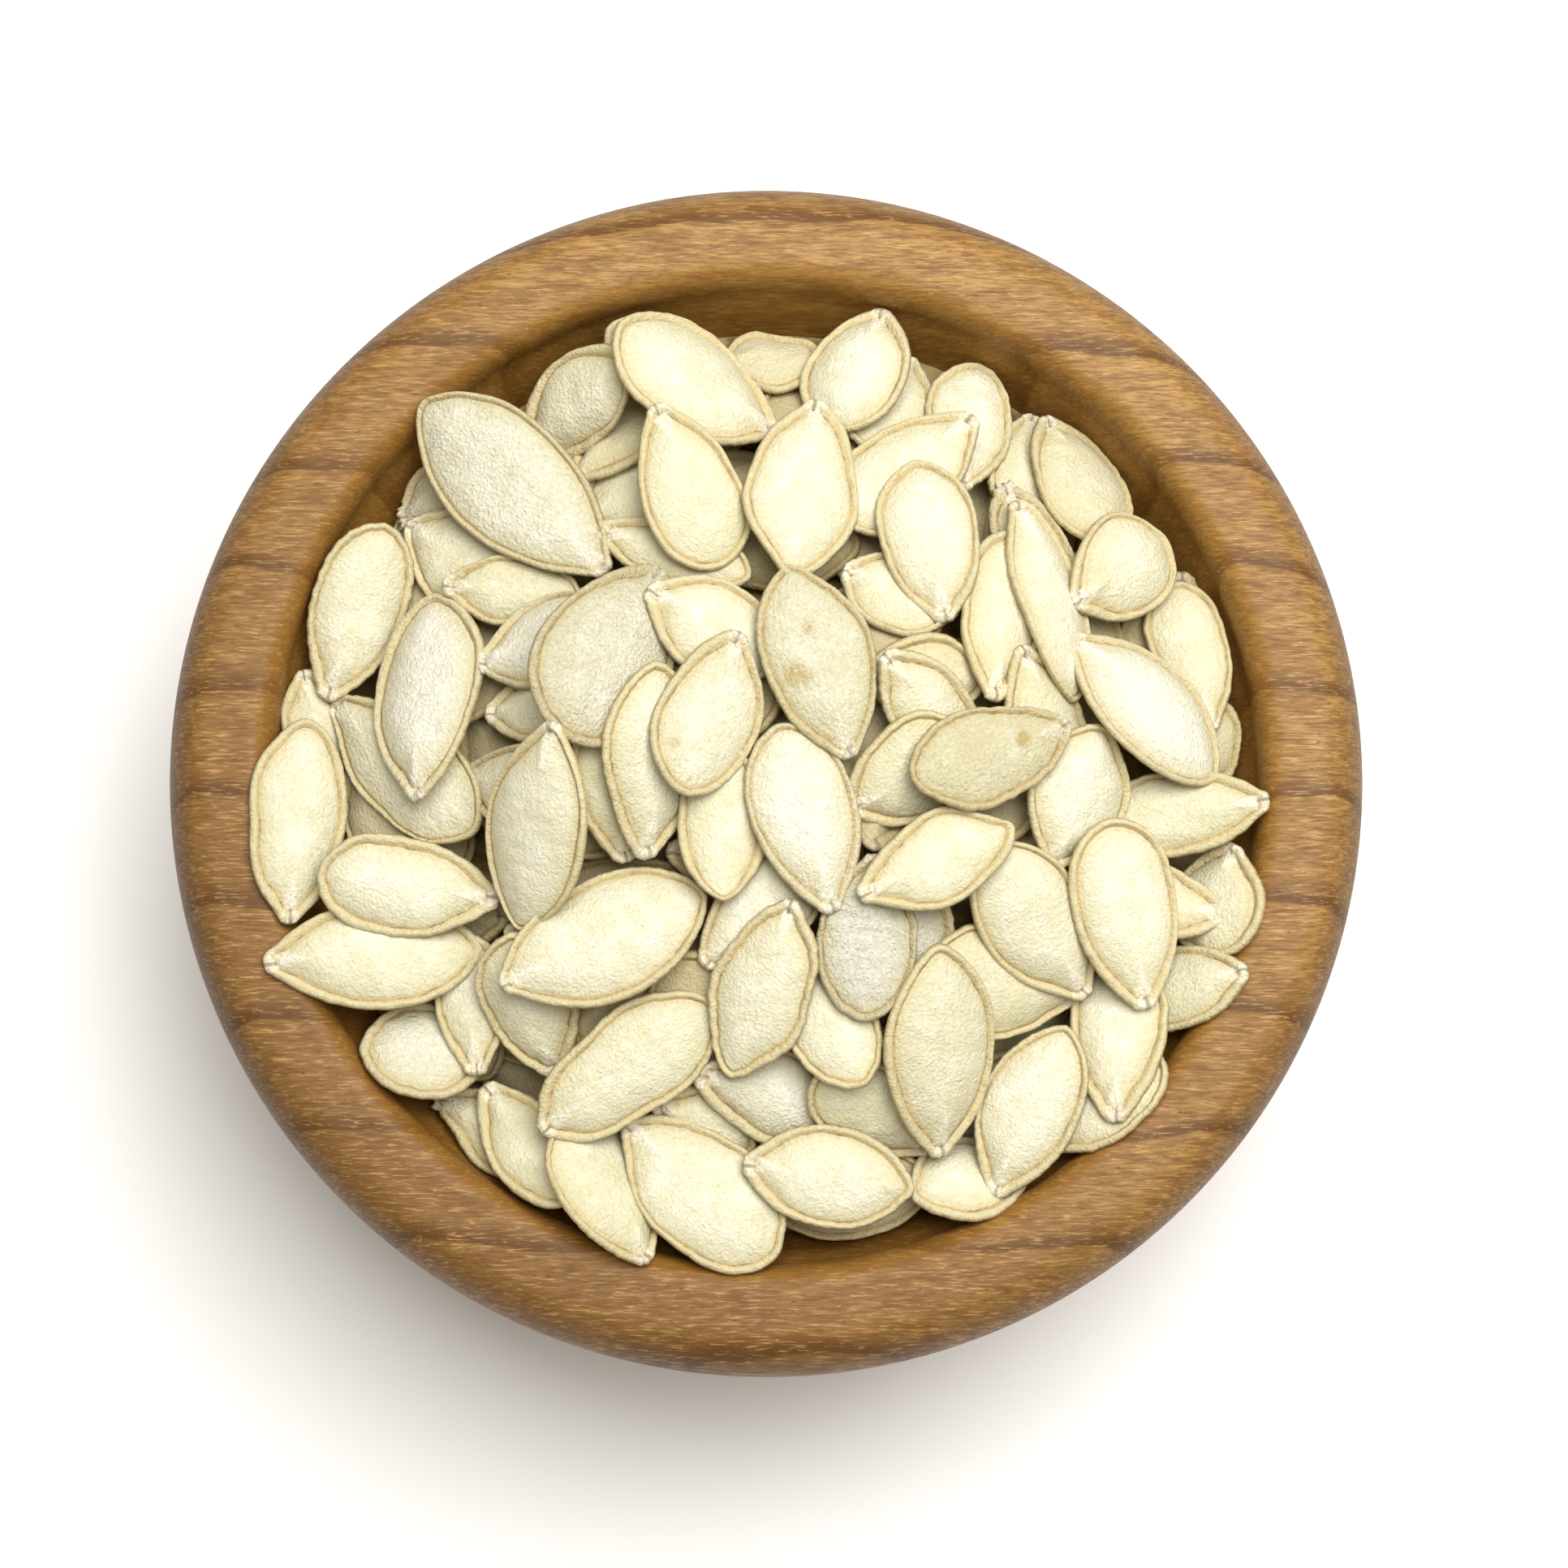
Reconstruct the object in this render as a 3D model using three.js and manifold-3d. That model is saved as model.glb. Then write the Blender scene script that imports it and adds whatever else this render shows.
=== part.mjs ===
// A small turned wooden bowl heaped with roasted pumpkin seeds, still in their white shells.
// Millimetres, +Z up. The origin is the centre of the foot's flat underside.
// -Y is the side of the bowl nearest to whoever looks down into it, and +X is on their right.
//
// There are two solids. The bowl is one piece of wood. The heap is a plain inner mound that fills the
// bowl, with every seed that shows fused on at its true size. Each seed comes to rest by itself on
// the mound, on the bowl's wall and on the seeds under it, so the list below gives no heights.
import * as THREE from "three";
import { mergeVertices } from "three/addons/utils/BufferGeometryUtils.js";
import Module from "manifold-3d";

// ------------------------------------------------------------------ driving dimensions

const bowl = {
  radius: 70, // the widest ring, which is also the outline seen from above
  widestHeight: 46,
  height: 55, // top of the rim
  topOuterRadius: 64, // the rim's broad top is flat from here
  topInnerRadius: 60.5, // to here
  cornerRadius: 57, // where the rounded inner edge meets the inside wall
  cornerHeight: 50,
  rimSquareness: 2.1, // of the rounded outer edge: 2 is a true ellipse, more is fuller
  wallSquareness: 2.1,
  lipSquareness: 2.6,
  wallPower: 3.2, // how late the inside turns up from floor to wall
  floorHeight: 9, // wood under the seeds
  footRadius: 33,
  footChamfer: 0.8,
  segments: 64,
  wallSteps: 6,
  rimSteps: 4,
  lipSteps: 3,
  insideSteps: 5,
  insideCrowding: 1.3, // over 1, the steps crowd towards the steep wall
};

const mound = {
  crownHeight: 62, // top of the inner mound, on which the seeds that show lie
  edgeHeight: 44, // where the mound meets the wall
  edgeRadius: 55,
  wallGap: 1, // drawn in from the wall, so that its flat facets stay clear of the wood
  steps: 8,
  crowding: 0.7, // under 1, the steps crowd towards the steep wall
};

const shell = {
  thicknessPerWidth: 0.26,
  marginHalfThickness: 0.5, // the flat margin that runs round the seed
  widestAlong: 0.6, // share of the length from the tip to the widest place
  tipPower: 2.1, // the outline narrows to the tip by tipPower and tipRoundness
  tipRoundness: 0.75,
  bluntPower: 2.6, // and to the blunt end by these two
  bluntRoundness: 0.55,
  domePower: 3, // how flat the dome runs along the seed before it falls at the ends
  outlinePoints: 12,
  deepOutlinePoints: 8, // on a seed that mostly lies under others
  shoulder: 0.74, // share of the way out at which the domed face meets the margin
};

const clearance = 0.35; // air between seeds and wood
const sink = 0.45; // how far a resting seed is pressed into what carries it
const pressStep = 0.3; // a seed that doesn't hold yet is pressed in by steps
const deepestPress = 1.2;
const steepest = Math.tan(THREE.MathUtils.degToRad(38)); // a steeper seed slides down flat
const gridStep = 1; // of the height map on which the seeds come to rest
const mapHalfSize = 74;
const searchSteps = 26; // each one narrows the search for the resting slope by a third
const rowsAlong = 12; // a seed feels what is under it at these rows and places across
const placesAcross = [-1, -0.5, 0, 0.5, 1];
const mergeDistance = 1e-4;
const least = 1e-6; // keeps a division safe where a seed's width runs out

// The eye that read the sizes below looks at the centre of the widest ring from this far behind and
// above it. It read them in the flat view through that centre, so real ones are a little less.
const eye = { back: 44, up: 386 };
const outlineMiddle = -0.96; // middle of the bowl's outline, up the view, from which y was read
const seedLift = 4; // first guess at the height of a seed that shows above the mound

// Each seed that shows, in the order of laying: [tip x, tip y, blunt end x, blunt end y, width].
const deepSeeds = [
  [-54.8, 14.0, -52.1, -1.5, 7.7],
  [-49.2, 2.3, -40.6, -13.0, 9.6],
  [-43.6, 31.2, -32.0, 36.8, 9.6],
  [-42.5, 31.0, -29.1, 21.5, 12.5],
  [-21.9, 30.1, -9.0, 38.7, 11.0],
  [-22.9, 34.9, -10.9, 46.4, 9.1],
  [-20.0, 30.1, -1.8, 24.1, 8.6],
  [-33.0, 8.0, -19.5, 10.9, 9.6],
  [-31.0, -17.8, -17.6, -20.7, 8.6],
  [8.2, 48.7, -5.2, 50.2, 8.0],
  [17.1, 51.2, 11.1, 38.7, 11.5],
  [31.7, 44.0, 29.3, 31.0, 9.0],
  [28.0, 35.6, 34.1, 19.5, 9.6],
  [8.7, 24.8, 22.6, 19.5, 10.5],
  [11.1, 12.8, 26.0, 11.9, 10.5],
  [51.4, -3.4, 51.2, 10.9, 9.6],
  [-0.4, -50.3, 19.7, -46.4, 11.0],
  [-13.3, -37.2, -1.3, -43.7, 9.6],
  [-16.7, -9.4, -19.1, 8.0, 9.6],
  [-38.9, -36.9, -24.7, -45.4, 8.8],
  [15.9, -9.2, 16.9, -25.5, 12.0],
  [36.5, -25.0, 17.8, -22.6, 13.4],
  [-0.4, 42.5, -18.8, 53.6, 12.9],
];

const middleSeeds = [
  [-29.2, 39.4, -15.8, 49.3, 11.3],
  [-38.2, 23.2, -21.5, 21.9, 9.1],
  [-33.5, 13.6, -19.1, 19.1, 11.3],
  [-36.1, 1.8, -22.4, -3.4, 10.5],
  [-51.9, 10.2, -33.9, -6.3, 12.1],
  [26.4, 9.0, 29.1, 30.3, 10.3],
  [13.5, 14.9, 24.5, 2.3, 10.5],
  [9.2, -3.4, 25.0, 5.7, 12.0],
  [52.3, 5.7, 48.0, 24.0, 9.6],
  [32.6, 43.7, 40.8, 27.2, 10.3],
  [55.7, -7.3, 50.9, -20.7, 10.3],
  [56.2, -22.3, 41.3, -26.0, 9.9],
  [54.4, -15.9, 37.9, -12.1, 9.4],
  [33.0, -43.2, 45.4, -30.2, 11.3],
  [32.2, -44.2, 16.6, -48.7, 9.4],
  [-8.2, -34.1, 9.2, -39.7, 11.1],
  [19.5, -42.9, 5.7, -34.1, 10.5],
  [3.0, -19.7, 11.6, -35.8, 11.0],
  [-7.6, -21.8, 5.4, -9.2, 10.5],
  [-56.2, -17.1, -54.3, 7.8, 11.4],
  [-32.0, -32.2, -47.8, -31.2, 11.3],
  [-34.1, -34.7, -35.3, -17.8, 8.6],
  [22.6, 33.2, 24.8, 50.0, 10.6],
  [14.3, 57.0, 7.5, 41.1, 12.0],
  [-52.3, 9.8, -44.3, 30.3, 11.3],
  [-59.4, -21.3, -33.2, -19.4, 12.9],
  [-33.1, -35.9, -23.0, -49.9, 10.0],
  [-24.8, -34.6, -30.3, -17.8, 11.5],
  [1.1, 41.1, -18.0, 52.6, 13.4],
  [24.7, 43.0, 8.4, 30.3, 12.6],
  [30.1, 16.0, 35.1, -2.0, 10.1],
  [30.1, 33.7, 36.8, 9.4, 8.4],
  [59.4, -2.3, 38.4, -5.0, 10.5],
  [40.8, -40.2, 42.2, -19.3, 11.3],
  [-14.0, -56.7, -23.4, -39.4, 10.7],
  [-16.9, -40.0, 1.5, -56.1, 14.2],
  [-18.4, 24.3, -41.1, 45.4, 15.2],
  [12.7, -8.2, 11.2, -28.0, 11.9],
];

const topSeeds = [
  [-31.3, -13.8, -53.1, -10.9, 12.1],
  [-27.2, -41.6, -6.3, -26.0, 12.5],
  [-13.0, 44.5, -5.2, 25.1, 12.3],
  [5.9, 45.7, 2.6, 23.2, 13.8],
  [35.6, 20.3, 47.7, 29.7, 12.3],
  [33.1, -10.4, 39.9, 6.8, 12.3],
  [38.1, -25.2, 25.0, -7.3, 13.2],
  [26.6, -49.0, 35.3, -28.5, 11.9],
  [-2.9, -44.8, 17.6, -48.1, 12.2],
  [21.0, 18.4, 17.6, 38.9, 12.2],
  [20.8, -44.6, 20.2, -19.2, 13.2],
  [-31.6, -24.3, -6.8, -12.8, 14.6],
  [-12.4, 26.2, -24.3, 4.7, 15.5],
  [-14.1, 22.6, 1.5, 13.8, 12.3],
  [-14.1, -8.9, -12.6, 14.0, 11.9],
  [-5.4, 5.7, -4.9, -14.3, 10.8],
  [10.5, -13.8, 29.3, -4.8, 10.7],
  [44.8, -26.7, 40.0, -4.4, 13.1],
  [36.0, 17.3, 53.6, 0.6, 12.1],
  [36.2, 7.2, 17.0, -0.5, 11.9],
  [-40.8, -2.7, -39.0, 22.7, 13.1],
  [-24.5, 6.6, -29.5, -17.1, 12.3],
  [-3.1, 18.0, -10.2, -1.5, 12.3],
  [7.9, -15.6, 1.5, 7.1, 12.8],
  [3.4, -13.8, -4.2, -34.9, 12.1],
  [9.9, 2.5, 2.5, 26.2, 13.6],
];

const laying = [...deepSeeds, ...middleSeeds, ...topSeeds];
const outlinePoints = (turn) => (turn < deepSeeds.length ? shell.deepOutlinePoints : shell.outlinePoints);

// ------------------------------------------------------------------ solids and joins

const library = await Module();
library.setup();

// A closed geometry as a solid that can be joined and cut.
function solid(geometry) {
  const bare = geometry.index ? geometry.toNonIndexed() : geometry.clone();
  bare.deleteAttribute("normal");
  bare.deleteAttribute("uv");
  const merged = mergeVertices(bare, mergeDistance);
  return new library.Manifold(
    new library.Mesh({
      numProp: 3,
      vertProperties: merged.attributes.position.array,
      triVerts: new Uint32Array(merged.index.array),
    }),
  );
}

// A joined solid as a geometry again.
function geometryOf(joined) {
  const mesh = joined.getMesh();
  const geometry = new THREE.BufferGeometry();
  geometry.setAttribute("position", new THREE.BufferAttribute(mesh.vertProperties, 3));
  geometry.setIndex(new THREE.BufferAttribute(mesh.triVerts, 1));
  geometry.computeVertexNormals();
  return geometry;
}

// The one large body: loose scraps and the skins of sealed hollows are dropped.
function largestBody(joined) {
  return joined.decompose().reduce((a, b) => (b.volume() > a.volume() ? b : a));
}

function named(name, geometry, look) {
  const mesh = new THREE.Mesh(geometry, new THREE.MeshStandardMaterial(look));
  mesh.name = name;
  return mesh;
}

// Turns a profile of (radius, height) points round the Z axis.
function turned(profile) {
  return new THREE.LatheGeometry(profile, bowl.segments).rotateX(Math.PI / 2);
}

// ------------------------------------------------------------------ the bowl

// A rounded quarter that leaves the point "level" level and arrives upright at "upright".
function quarter(level, upright, squareness, steps) {
  const points = [];
  for (let i = 0; i <= steps; i++) {
    const turn = ((i / steps) * Math.PI) / 2;
    points.push(
      new THREE.Vector2(
        level.x + (upright.x - level.x) * Math.sin(turn) ** (2 / squareness),
        upright.y + (level.y - upright.y) * Math.cos(turn) ** (2 / squareness),
      ),
    );
  }
  return points;
}

// Height of the inside of the bowl at a radius, up to the soft inner corner.
function insideHeight(radius) {
  const rise = bowl.cornerHeight - bowl.floorHeight;
  return bowl.floorHeight + rise * (radius / bowl.cornerRadius) ** bowl.wallPower;
}

// Height of the wood seen from above at any radius.
function woodHeight(radius) {
  if (radius <= bowl.cornerRadius) return insideHeight(radius);
  if (radius >= bowl.radius) return 0;
  const inner = radius < bowl.topInnerRadius;
  const start = inner ? bowl.topInnerRadius : Math.min(radius, bowl.topOuterRadius);
  const end = inner ? bowl.cornerRadius : bowl.radius;
  const low = inner ? bowl.cornerHeight : bowl.widestHeight;
  const power = inner ? bowl.lipSquareness : bowl.rimSquareness;
  const out = (radius - start) / (end - start);
  return low + (bowl.height - low) * (1 - out ** power) ** (1 / power);
}

// The profile of the bowl, or of the room that it needs when "grow" is more than 0.
function bowlProfile(grow) {
  const topOuter = new THREE.Vector2(bowl.topOuterRadius, bowl.height + grow);
  const topInner = new THREE.Vector2(bowl.topInnerRadius, bowl.height + grow);
  const widest = new THREE.Vector2(bowl.radius + grow, bowl.widestHeight);
  const corner = new THREE.Vector2(bowl.cornerRadius - grow, bowl.cornerHeight);
  const foot = new THREE.Vector2(bowl.footRadius + grow, bowl.footChamfer);
  const wall = quarter(foot, widest, bowl.wallSquareness, bowl.wallSteps);
  const rim = quarter(topOuter, widest, bowl.rimSquareness, bowl.rimSteps).reverse();
  const lip = quarter(topInner, corner, bowl.lipSquareness, bowl.lipSteps);
  const inside = [];
  for (let i = 1; i <= bowl.insideSteps; i++) {
    const radius = bowl.cornerRadius * (1 - (i / bowl.insideSteps) ** bowl.insideCrowding);
    const inset = i < bowl.insideSteps ? grow : 0;
    inside.push(new THREE.Vector2(Math.max(radius - inset, 0), insideHeight(radius) + grow));
  }
  return [
    new THREE.Vector2(0, 0),
    new THREE.Vector2(bowl.footRadius - bowl.footChamfer, 0),
    ...wall,
    ...rim.slice(1),
    ...lip,
    ...inside,
  ];
}

// ------------------------------------------------------------------ the mound under the seeds

function moundHeight(radius) {
  const rise = mound.crownHeight - mound.edgeHeight;
  return mound.edgeHeight + rise * (1 - (radius / mound.edgeRadius) ** 2);
}

// It fills the bowl up to its edge, a little clear of the wood, and is domed on top.
function moundProfile() {
  const profile = [new THREE.Vector2(0, bowl.floorHeight + 2 * clearance)];
  for (let i = 1; i <= mound.steps; i++) {
    const radius = mound.edgeRadius * (i / mound.steps) ** mound.crowding;
    profile.push(new THREE.Vector2(radius - mound.wallGap, insideHeight(radius) + clearance));
  }
  for (let i = 0; i <= mound.steps; i++) {
    const radius = (mound.edgeRadius - mound.wallGap) * (1 - i / mound.steps);
    profile.push(new THREE.Vector2(radius, moundHeight(radius)));
  }
  return profile;
}

// ------------------------------------------------------------------ one seed

// Half the width of a shell, as a share of its largest, at a share of the length from the tip.
function outline(along) {
  const middle = shell.widestAlong;
  if (along < middle) {
    return (1 - ((middle - along) / middle) ** shell.tipPower) ** shell.tipRoundness;
  }
  return (1 - ((along - middle) / (1 - middle)) ** shell.bluntPower) ** shell.bluntRoundness;
}

// Half the thickness at a place: along the length, and across as a share of the half width.
function halfThickness(along, across, width) {
  const dome = (shell.thicknessPerWidth * width) / 2 - shell.marginHalfThickness;
  const fall = (1 - across ** 2) * (1 - Math.abs(2 * along - 1) ** shell.domePower);
  return shell.marginHalfThickness + dome * Math.max(fall, 0);
}

// A closed shell with its length along X, blunt end at +X, the same above and below.
// Its rings of points are the sharp margin and, above and below it, the shoulder of the dome.
function shellGeometry(length, width, count) {
  const positions = [];
  const place = (turn, out, side) => {
    const edge = (1 - Math.cos(turn)) / 2;
    const along = 0.5 + (edge - 0.5) * out;
    const reach = outline(edge) * (turn < Math.PI ? out : -out);
    const across = Math.min(Math.abs(reach) / outline(along), 1);
    const lift = side && halfThickness(along, across, width);
    positions.push((along - 0.5) * length, (reach * width) / 2, side * lift);
  };
  const ring = (out, side) => {
    for (let i = 0; i < count; i++) place((2 * Math.PI * i) / count, out, side);
  };
  ring(1, 0);
  ring(shell.shoulder, 1);
  ring(shell.shoulder, -1);
  place(Math.PI, 0, 1);
  place(Math.PI, 0, -1);
  const above = count;
  const below = 2 * count;
  const top = 3 * count;
  const bottom = top + 1;
  const faces = [];
  for (let i = 0; i < count; i++) {
    const next = (i + 1) % count;
    faces.push(next, i, above + i, next, above + i, above + next);
    faces.push(i, next, below + next, i, below + next, below + i);
    faces.push(above + next, above + i, top);
    faces.push(below + i, below + next, bottom);
  }
  const geometry = new THREE.BufferGeometry();
  geometry.setAttribute("position", new THREE.Float32BufferAttribute(positions, 3));
  geometry.setIndex(faces);
  return geometry;
}

// ------------------------------------------------------------------ how the seeds come to rest

// Height of what carries the seeds, on a square grid. It grows with every seed laid.
const cells = (2 * mapHalfSize) / gridStep + 1;
const ground = new Float64Array(cells * cells);

function cellAt(x, y) {
  const column = Math.round((x + mapHalfSize) / gridStep);
  const row = Math.round((y + mapHalfSize) / gridStep);
  return row * cells + column;
}

function startGround() {
  for (let row = 0; row < cells; row++) {
    for (let column = 0; column < cells; column++) {
      const radius = Math.hypot(column * gridStep - mapHalfSize, row * gridStep - mapHalfSize);
      const heap = radius < mound.edgeRadius ? moundHeight(radius) : 0;
      ground[row * cells + column] = Math.max(heap, woodHeight(radius) + clearance + sink);
    }
  }
}

// Where the eye's sight line through a place read in its view is at a height above the widest ring.
function underEye(x, y, height) {
  const distance = Math.hypot(eye.back, eye.up);
  const upView = y + outlineMiddle;
  const reach = (eye.up - height) / (eye.up - (upView * eye.back) / distance);
  return { x: x * reach, y: reach * (eye.back + (upView * eye.up) / distance) - eye.back };
}

// Where the seed lies in plan with its middle at a level: middle, direction, length and width.
function planOf([tipX, tipY, buttX, buttY, width], level) {
  const height = level - bowl.widestHeight;
  const tip = underEye(tipX, tipY, height);
  const butt = underEye(buttX, buttY, height);
  const length = Math.hypot(butt.x - tip.x, butt.y - tip.y);
  return {
    x: (tip.x + butt.x) / 2,
    y: (tip.y + butt.y) / 2,
    alongX: (butt.x - tip.x) / length,
    alongY: (butt.y - tip.y) / length,
    length,
    width: width * (1 - height / eye.up),
  };
}

// Calls visit(dx, dy, along, across) for points spread over the seed's plan.
function spread(plan, visit) {
  for (let i = 0; i <= rowsAlong; i++) {
    const along = i / rowsAlong;
    const half = (outline(along) * plan.width) / 2;
    for (const across of placesAcross) {
      const forward = (along - 0.5) * plan.length;
      const side = across * half;
      const dx = plan.alongX * forward - plan.alongY * side;
      const dy = plan.alongY * forward + plan.alongX * side;
      visit(dx, dy, along, across);
    }
  }
}

// The smallest value of a function that has one dip, and where it is.
function lowest(value) {
  let low = -steepest;
  let high = steepest;
  for (let i = 0; i < searchSteps; i++) {
    const third = (high - low) / 3;
    if (value(low + third) < value(high - third)) high -= third;
    else low += third;
  }
  return (low + high) / 2;
}

// A resting seed touches what is under it with its middle as low as it can get.
function rest(plan) {
  const touches = [];
  spread(plan, (dx, dy, along, across) => {
    const under = halfThickness(along, across, plan.width);
    touches.push([dx, dy, ground[cellAt(plan.x + dx, plan.y + dy)] + under]);
  });
  const heightAt = (slopeX, slopeY) =>
    touches.reduce((most, [dx, dy, need]) => Math.max(most, need - slopeX * dx - slopeY * dy), 0);
  const bestY = (slopeX) => lowest((slopeY) => heightAt(slopeX, slopeY));
  const slopeX = lowest((slope) => heightAt(slope, bestY(slope)));
  const slopeY = bestY(slopeX);
  return { ...plan, slopeX, slopeY, z: heightAt(slopeX, slopeY) - sink };
}

// Lays a seed down twice, because its true level is only known after the first time.
function settle(row) {
  const [tipX, tipY, buttX, buttY] = row;
  const middle = Math.hypot((tipX + buttX) / 2, (tipY + buttY) / 2);
  const first = rest(planOf(row, moundHeight(middle) + seedLift));
  return rest(planOf(row, first.z));
}

// Raises the ground where the resting seed covers it.
function raiseGround(seed) {
  const reach = seed.length / 2 + gridStep;
  for (let dx = -reach; dx <= reach; dx += gridStep / 2) {
    for (let dy = -reach; dy <= reach; dy += gridStep / 2) {
      const along = (dx * seed.alongX + dy * seed.alongY) / seed.length + 0.5;
      if (along < 0 || along > 1) continue;
      const half = (outline(along) * seed.width) / 2;
      const across = (dy * seed.alongX - dx * seed.alongY) / Math.max(half, least);
      if (Math.abs(across) > 1) continue;
      const face = halfThickness(along, across, seed.width);
      const cell = cellAt(seed.x + dx, seed.y + dy);
      const height = seed.z + seed.slopeX * dx + seed.slopeY * dy + face;
      ground[cell] = Math.max(ground[cell], height);
    }
  }
}

// The seed's solid, turned onto its resting plane.
// A leaning seed is longer than its plan, so its length and width grow with the slope.
function lay(seed) {
  const uphill = seed.slopeX * seed.alongX + seed.slopeY * seed.alongY;
  const sideways = seed.slopeY * seed.alongX - seed.slopeX * seed.alongY;
  const along = new THREE.Vector3(seed.alongX, seed.alongY, uphill).normalize();
  const face = new THREE.Vector3(-seed.slopeX, -seed.slopeY, 1).normalize();
  const across = new THREE.Vector3().crossVectors(face, along);
  const geometry = shellGeometry(
    seed.length * Math.hypot(1, uphill),
    seed.width * Math.hypot(1, sideways),
    seed.outlinePoints,
  );
  const pose = new THREE.Matrix4().makeBasis(along, across, face);
  pose.setPosition(seed.x, seed.y, seed.z);
  return solid(geometry.applyMatrix4(pose));
}

// ------------------------------------------------------------------ the two pieces

function makeBowl() {
  const look = { color: "#b48a5c", roughness: 0.5, metalness: 0 };
  return named("bowl", turned(bowlProfile(0)), look);
}

// Joins a resting seed to the heap. One that only just touches is pressed in until it holds.
function join(heap, seed, room) {
  let joined = heap;
  for (let press = 0; press <= deepestPress; press += pressStep) {
    joined = heap.add(lay({ ...seed, z: seed.z - press }).subtract(room));
    if (joined.decompose().length === 1) break;
  }
  return largestBody(joined);
}

function makeHeap() {
  startGround();
  const room = solid(turned(bowlProfile(clearance)));
  let heap = solid(turned(moundProfile()));
  laying.forEach((row, turn) => {
    const seed = settle(row);
    raiseGround(seed);
    heap = join(heap, { ...seed, outlinePoints: outlinePoints(turn) }, room);
  });
  const look = { color: "#efe6c8", roughness: 0.6, metalness: 0 };
  return named("seed_heap", geometryOf(heap), look);
}

const part = new THREE.Group();
part.add(makeBowl(), makeHeap());

export default part;
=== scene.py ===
# %% [markdown]
# # A bowl of roasted pumpkin seeds
#
# The frame holds two solids: the wooden bowl, and one solid for the whole heap of seeds. This script
# gives both their looks. The bowl becomes a finely turned piece of wood. The heap becomes real loose
# seeds, each laid where the frame has it, over a plain core that hardly shows.
#
# Lengths are written in millimetres, the maker's unit, and turned to metres when a mesh is made.

# %% Load the frame
import math

import bpy
import numpy as np
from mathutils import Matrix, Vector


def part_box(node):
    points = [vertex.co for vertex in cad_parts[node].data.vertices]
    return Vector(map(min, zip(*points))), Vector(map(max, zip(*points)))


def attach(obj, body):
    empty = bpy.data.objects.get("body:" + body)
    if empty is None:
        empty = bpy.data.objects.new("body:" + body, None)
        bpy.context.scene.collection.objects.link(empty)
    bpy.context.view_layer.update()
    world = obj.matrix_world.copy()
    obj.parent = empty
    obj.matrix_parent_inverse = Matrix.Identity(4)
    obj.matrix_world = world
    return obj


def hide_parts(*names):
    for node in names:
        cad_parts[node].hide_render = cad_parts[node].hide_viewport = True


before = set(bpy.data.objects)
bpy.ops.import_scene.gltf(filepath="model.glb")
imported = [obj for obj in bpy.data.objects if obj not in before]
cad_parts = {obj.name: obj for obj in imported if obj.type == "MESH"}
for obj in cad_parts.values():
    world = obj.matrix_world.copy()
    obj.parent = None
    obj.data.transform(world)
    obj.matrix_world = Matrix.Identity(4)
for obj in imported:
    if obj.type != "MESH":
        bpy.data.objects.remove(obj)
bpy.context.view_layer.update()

MM = 0.001
low, high = (np.array(corner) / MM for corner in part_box("bowl"))
BOWL_RADIUS = (high[0] - low[0]) / 2
BOWL_HEIGHT = high[2]
print("bowl:", round(2 * BOWL_RADIUS, 1), "mm across,", round(BOWL_HEIGHT, 1), "mm high")


# %% [markdown]
# ## Colours and nodes
# Colours are picked as sRGB hex values, but a shader adds and multiplies light, so each is turned to
# linear first. One helper adds any node: settings by keyword, inputs by name or number, and an input
# may be a plain value or another node's output, which is then linked.

# %% Helpers for every material
def linear(hex_colour):
    parts = [int(hex_colour[i:i + 2], 16) / 255 for i in (1, 3, 5)]
    return [p / 12.92 if p <= 0.04045 else ((p + 0.055) / 1.055) ** 2.4 for p in parts] + [1.0]


def add(material, kind, inputs=None, **settings):
    tree = material.node_tree
    node = tree.nodes.new("ShaderNode" + kind)
    for name, value in settings.items():
        setattr(node, name, value)
    for key, value in (inputs or {}).items():
        if isinstance(value, bpy.types.NodeSocket):
            tree.links.new(value, node.inputs[key])
        else:
            node.inputs[key].default_value = value
    return node


def new_material(name):
    """An empty material with its surface shader and output joined."""
    material = bpy.data.materials.new(name)
    material.use_nodes = True
    material.node_tree.nodes.clear()
    shader = add(material, "BsdfPrincipled")
    add(material, "OutputMaterial", {"Surface": shader.outputs[0]})
    return material, shader


def colour_mix(material, share, first, second):
    """Mixes two colours; share is a value or a socket."""
    return add(material, "Mix", {0: share, 6: first, 7: second}, data_type="RGBA").outputs[2]


# %% [markdown]
# ## The bowl: turned on a lathe
# The real bowl is one block of close-grained fruitwood, hollowed and rounded on a lathe, so a profile
# spun round the upright axis is the true way to make it. The frame holds the same profile with few
# faces. Here it has many, so that the broad soft rim catches the light without facets.

# %% The profile, as in the frame
WIDEST_HEIGHT = 46.0
TOP_OUTER_RADIUS = 64.0  # the rim's broad top is flat from here
TOP_INNER_RADIUS = 60.5  # to here
CORNER_RADIUS = 57.0     # where the rounded inner edge meets the inside wall
CORNER_HEIGHT = 50.0
RIM_SQUARENESS = 2.1     # 2 is a true ellipse, more is fuller
WALL_SQUARENESS = 2.1
LIP_SQUARENESS = 2.6
WALL_POWER = 3.2         # how late the inside turns up from floor to wall
FLOOR_HEIGHT = 9.0
FOOT_RADIUS = 33.0
FOOT_CHAMFER = 0.8
WALL_STEPS, RIM_STEPS, LIP_STEPS, INSIDE_STEPS = 24, 18, 14, 30  # faces along each curve
INSIDE_CROWDING = 1.3    # draws the inside's steps together near the wall, where it bends
BOWL_SEGMENTS = 288


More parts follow.
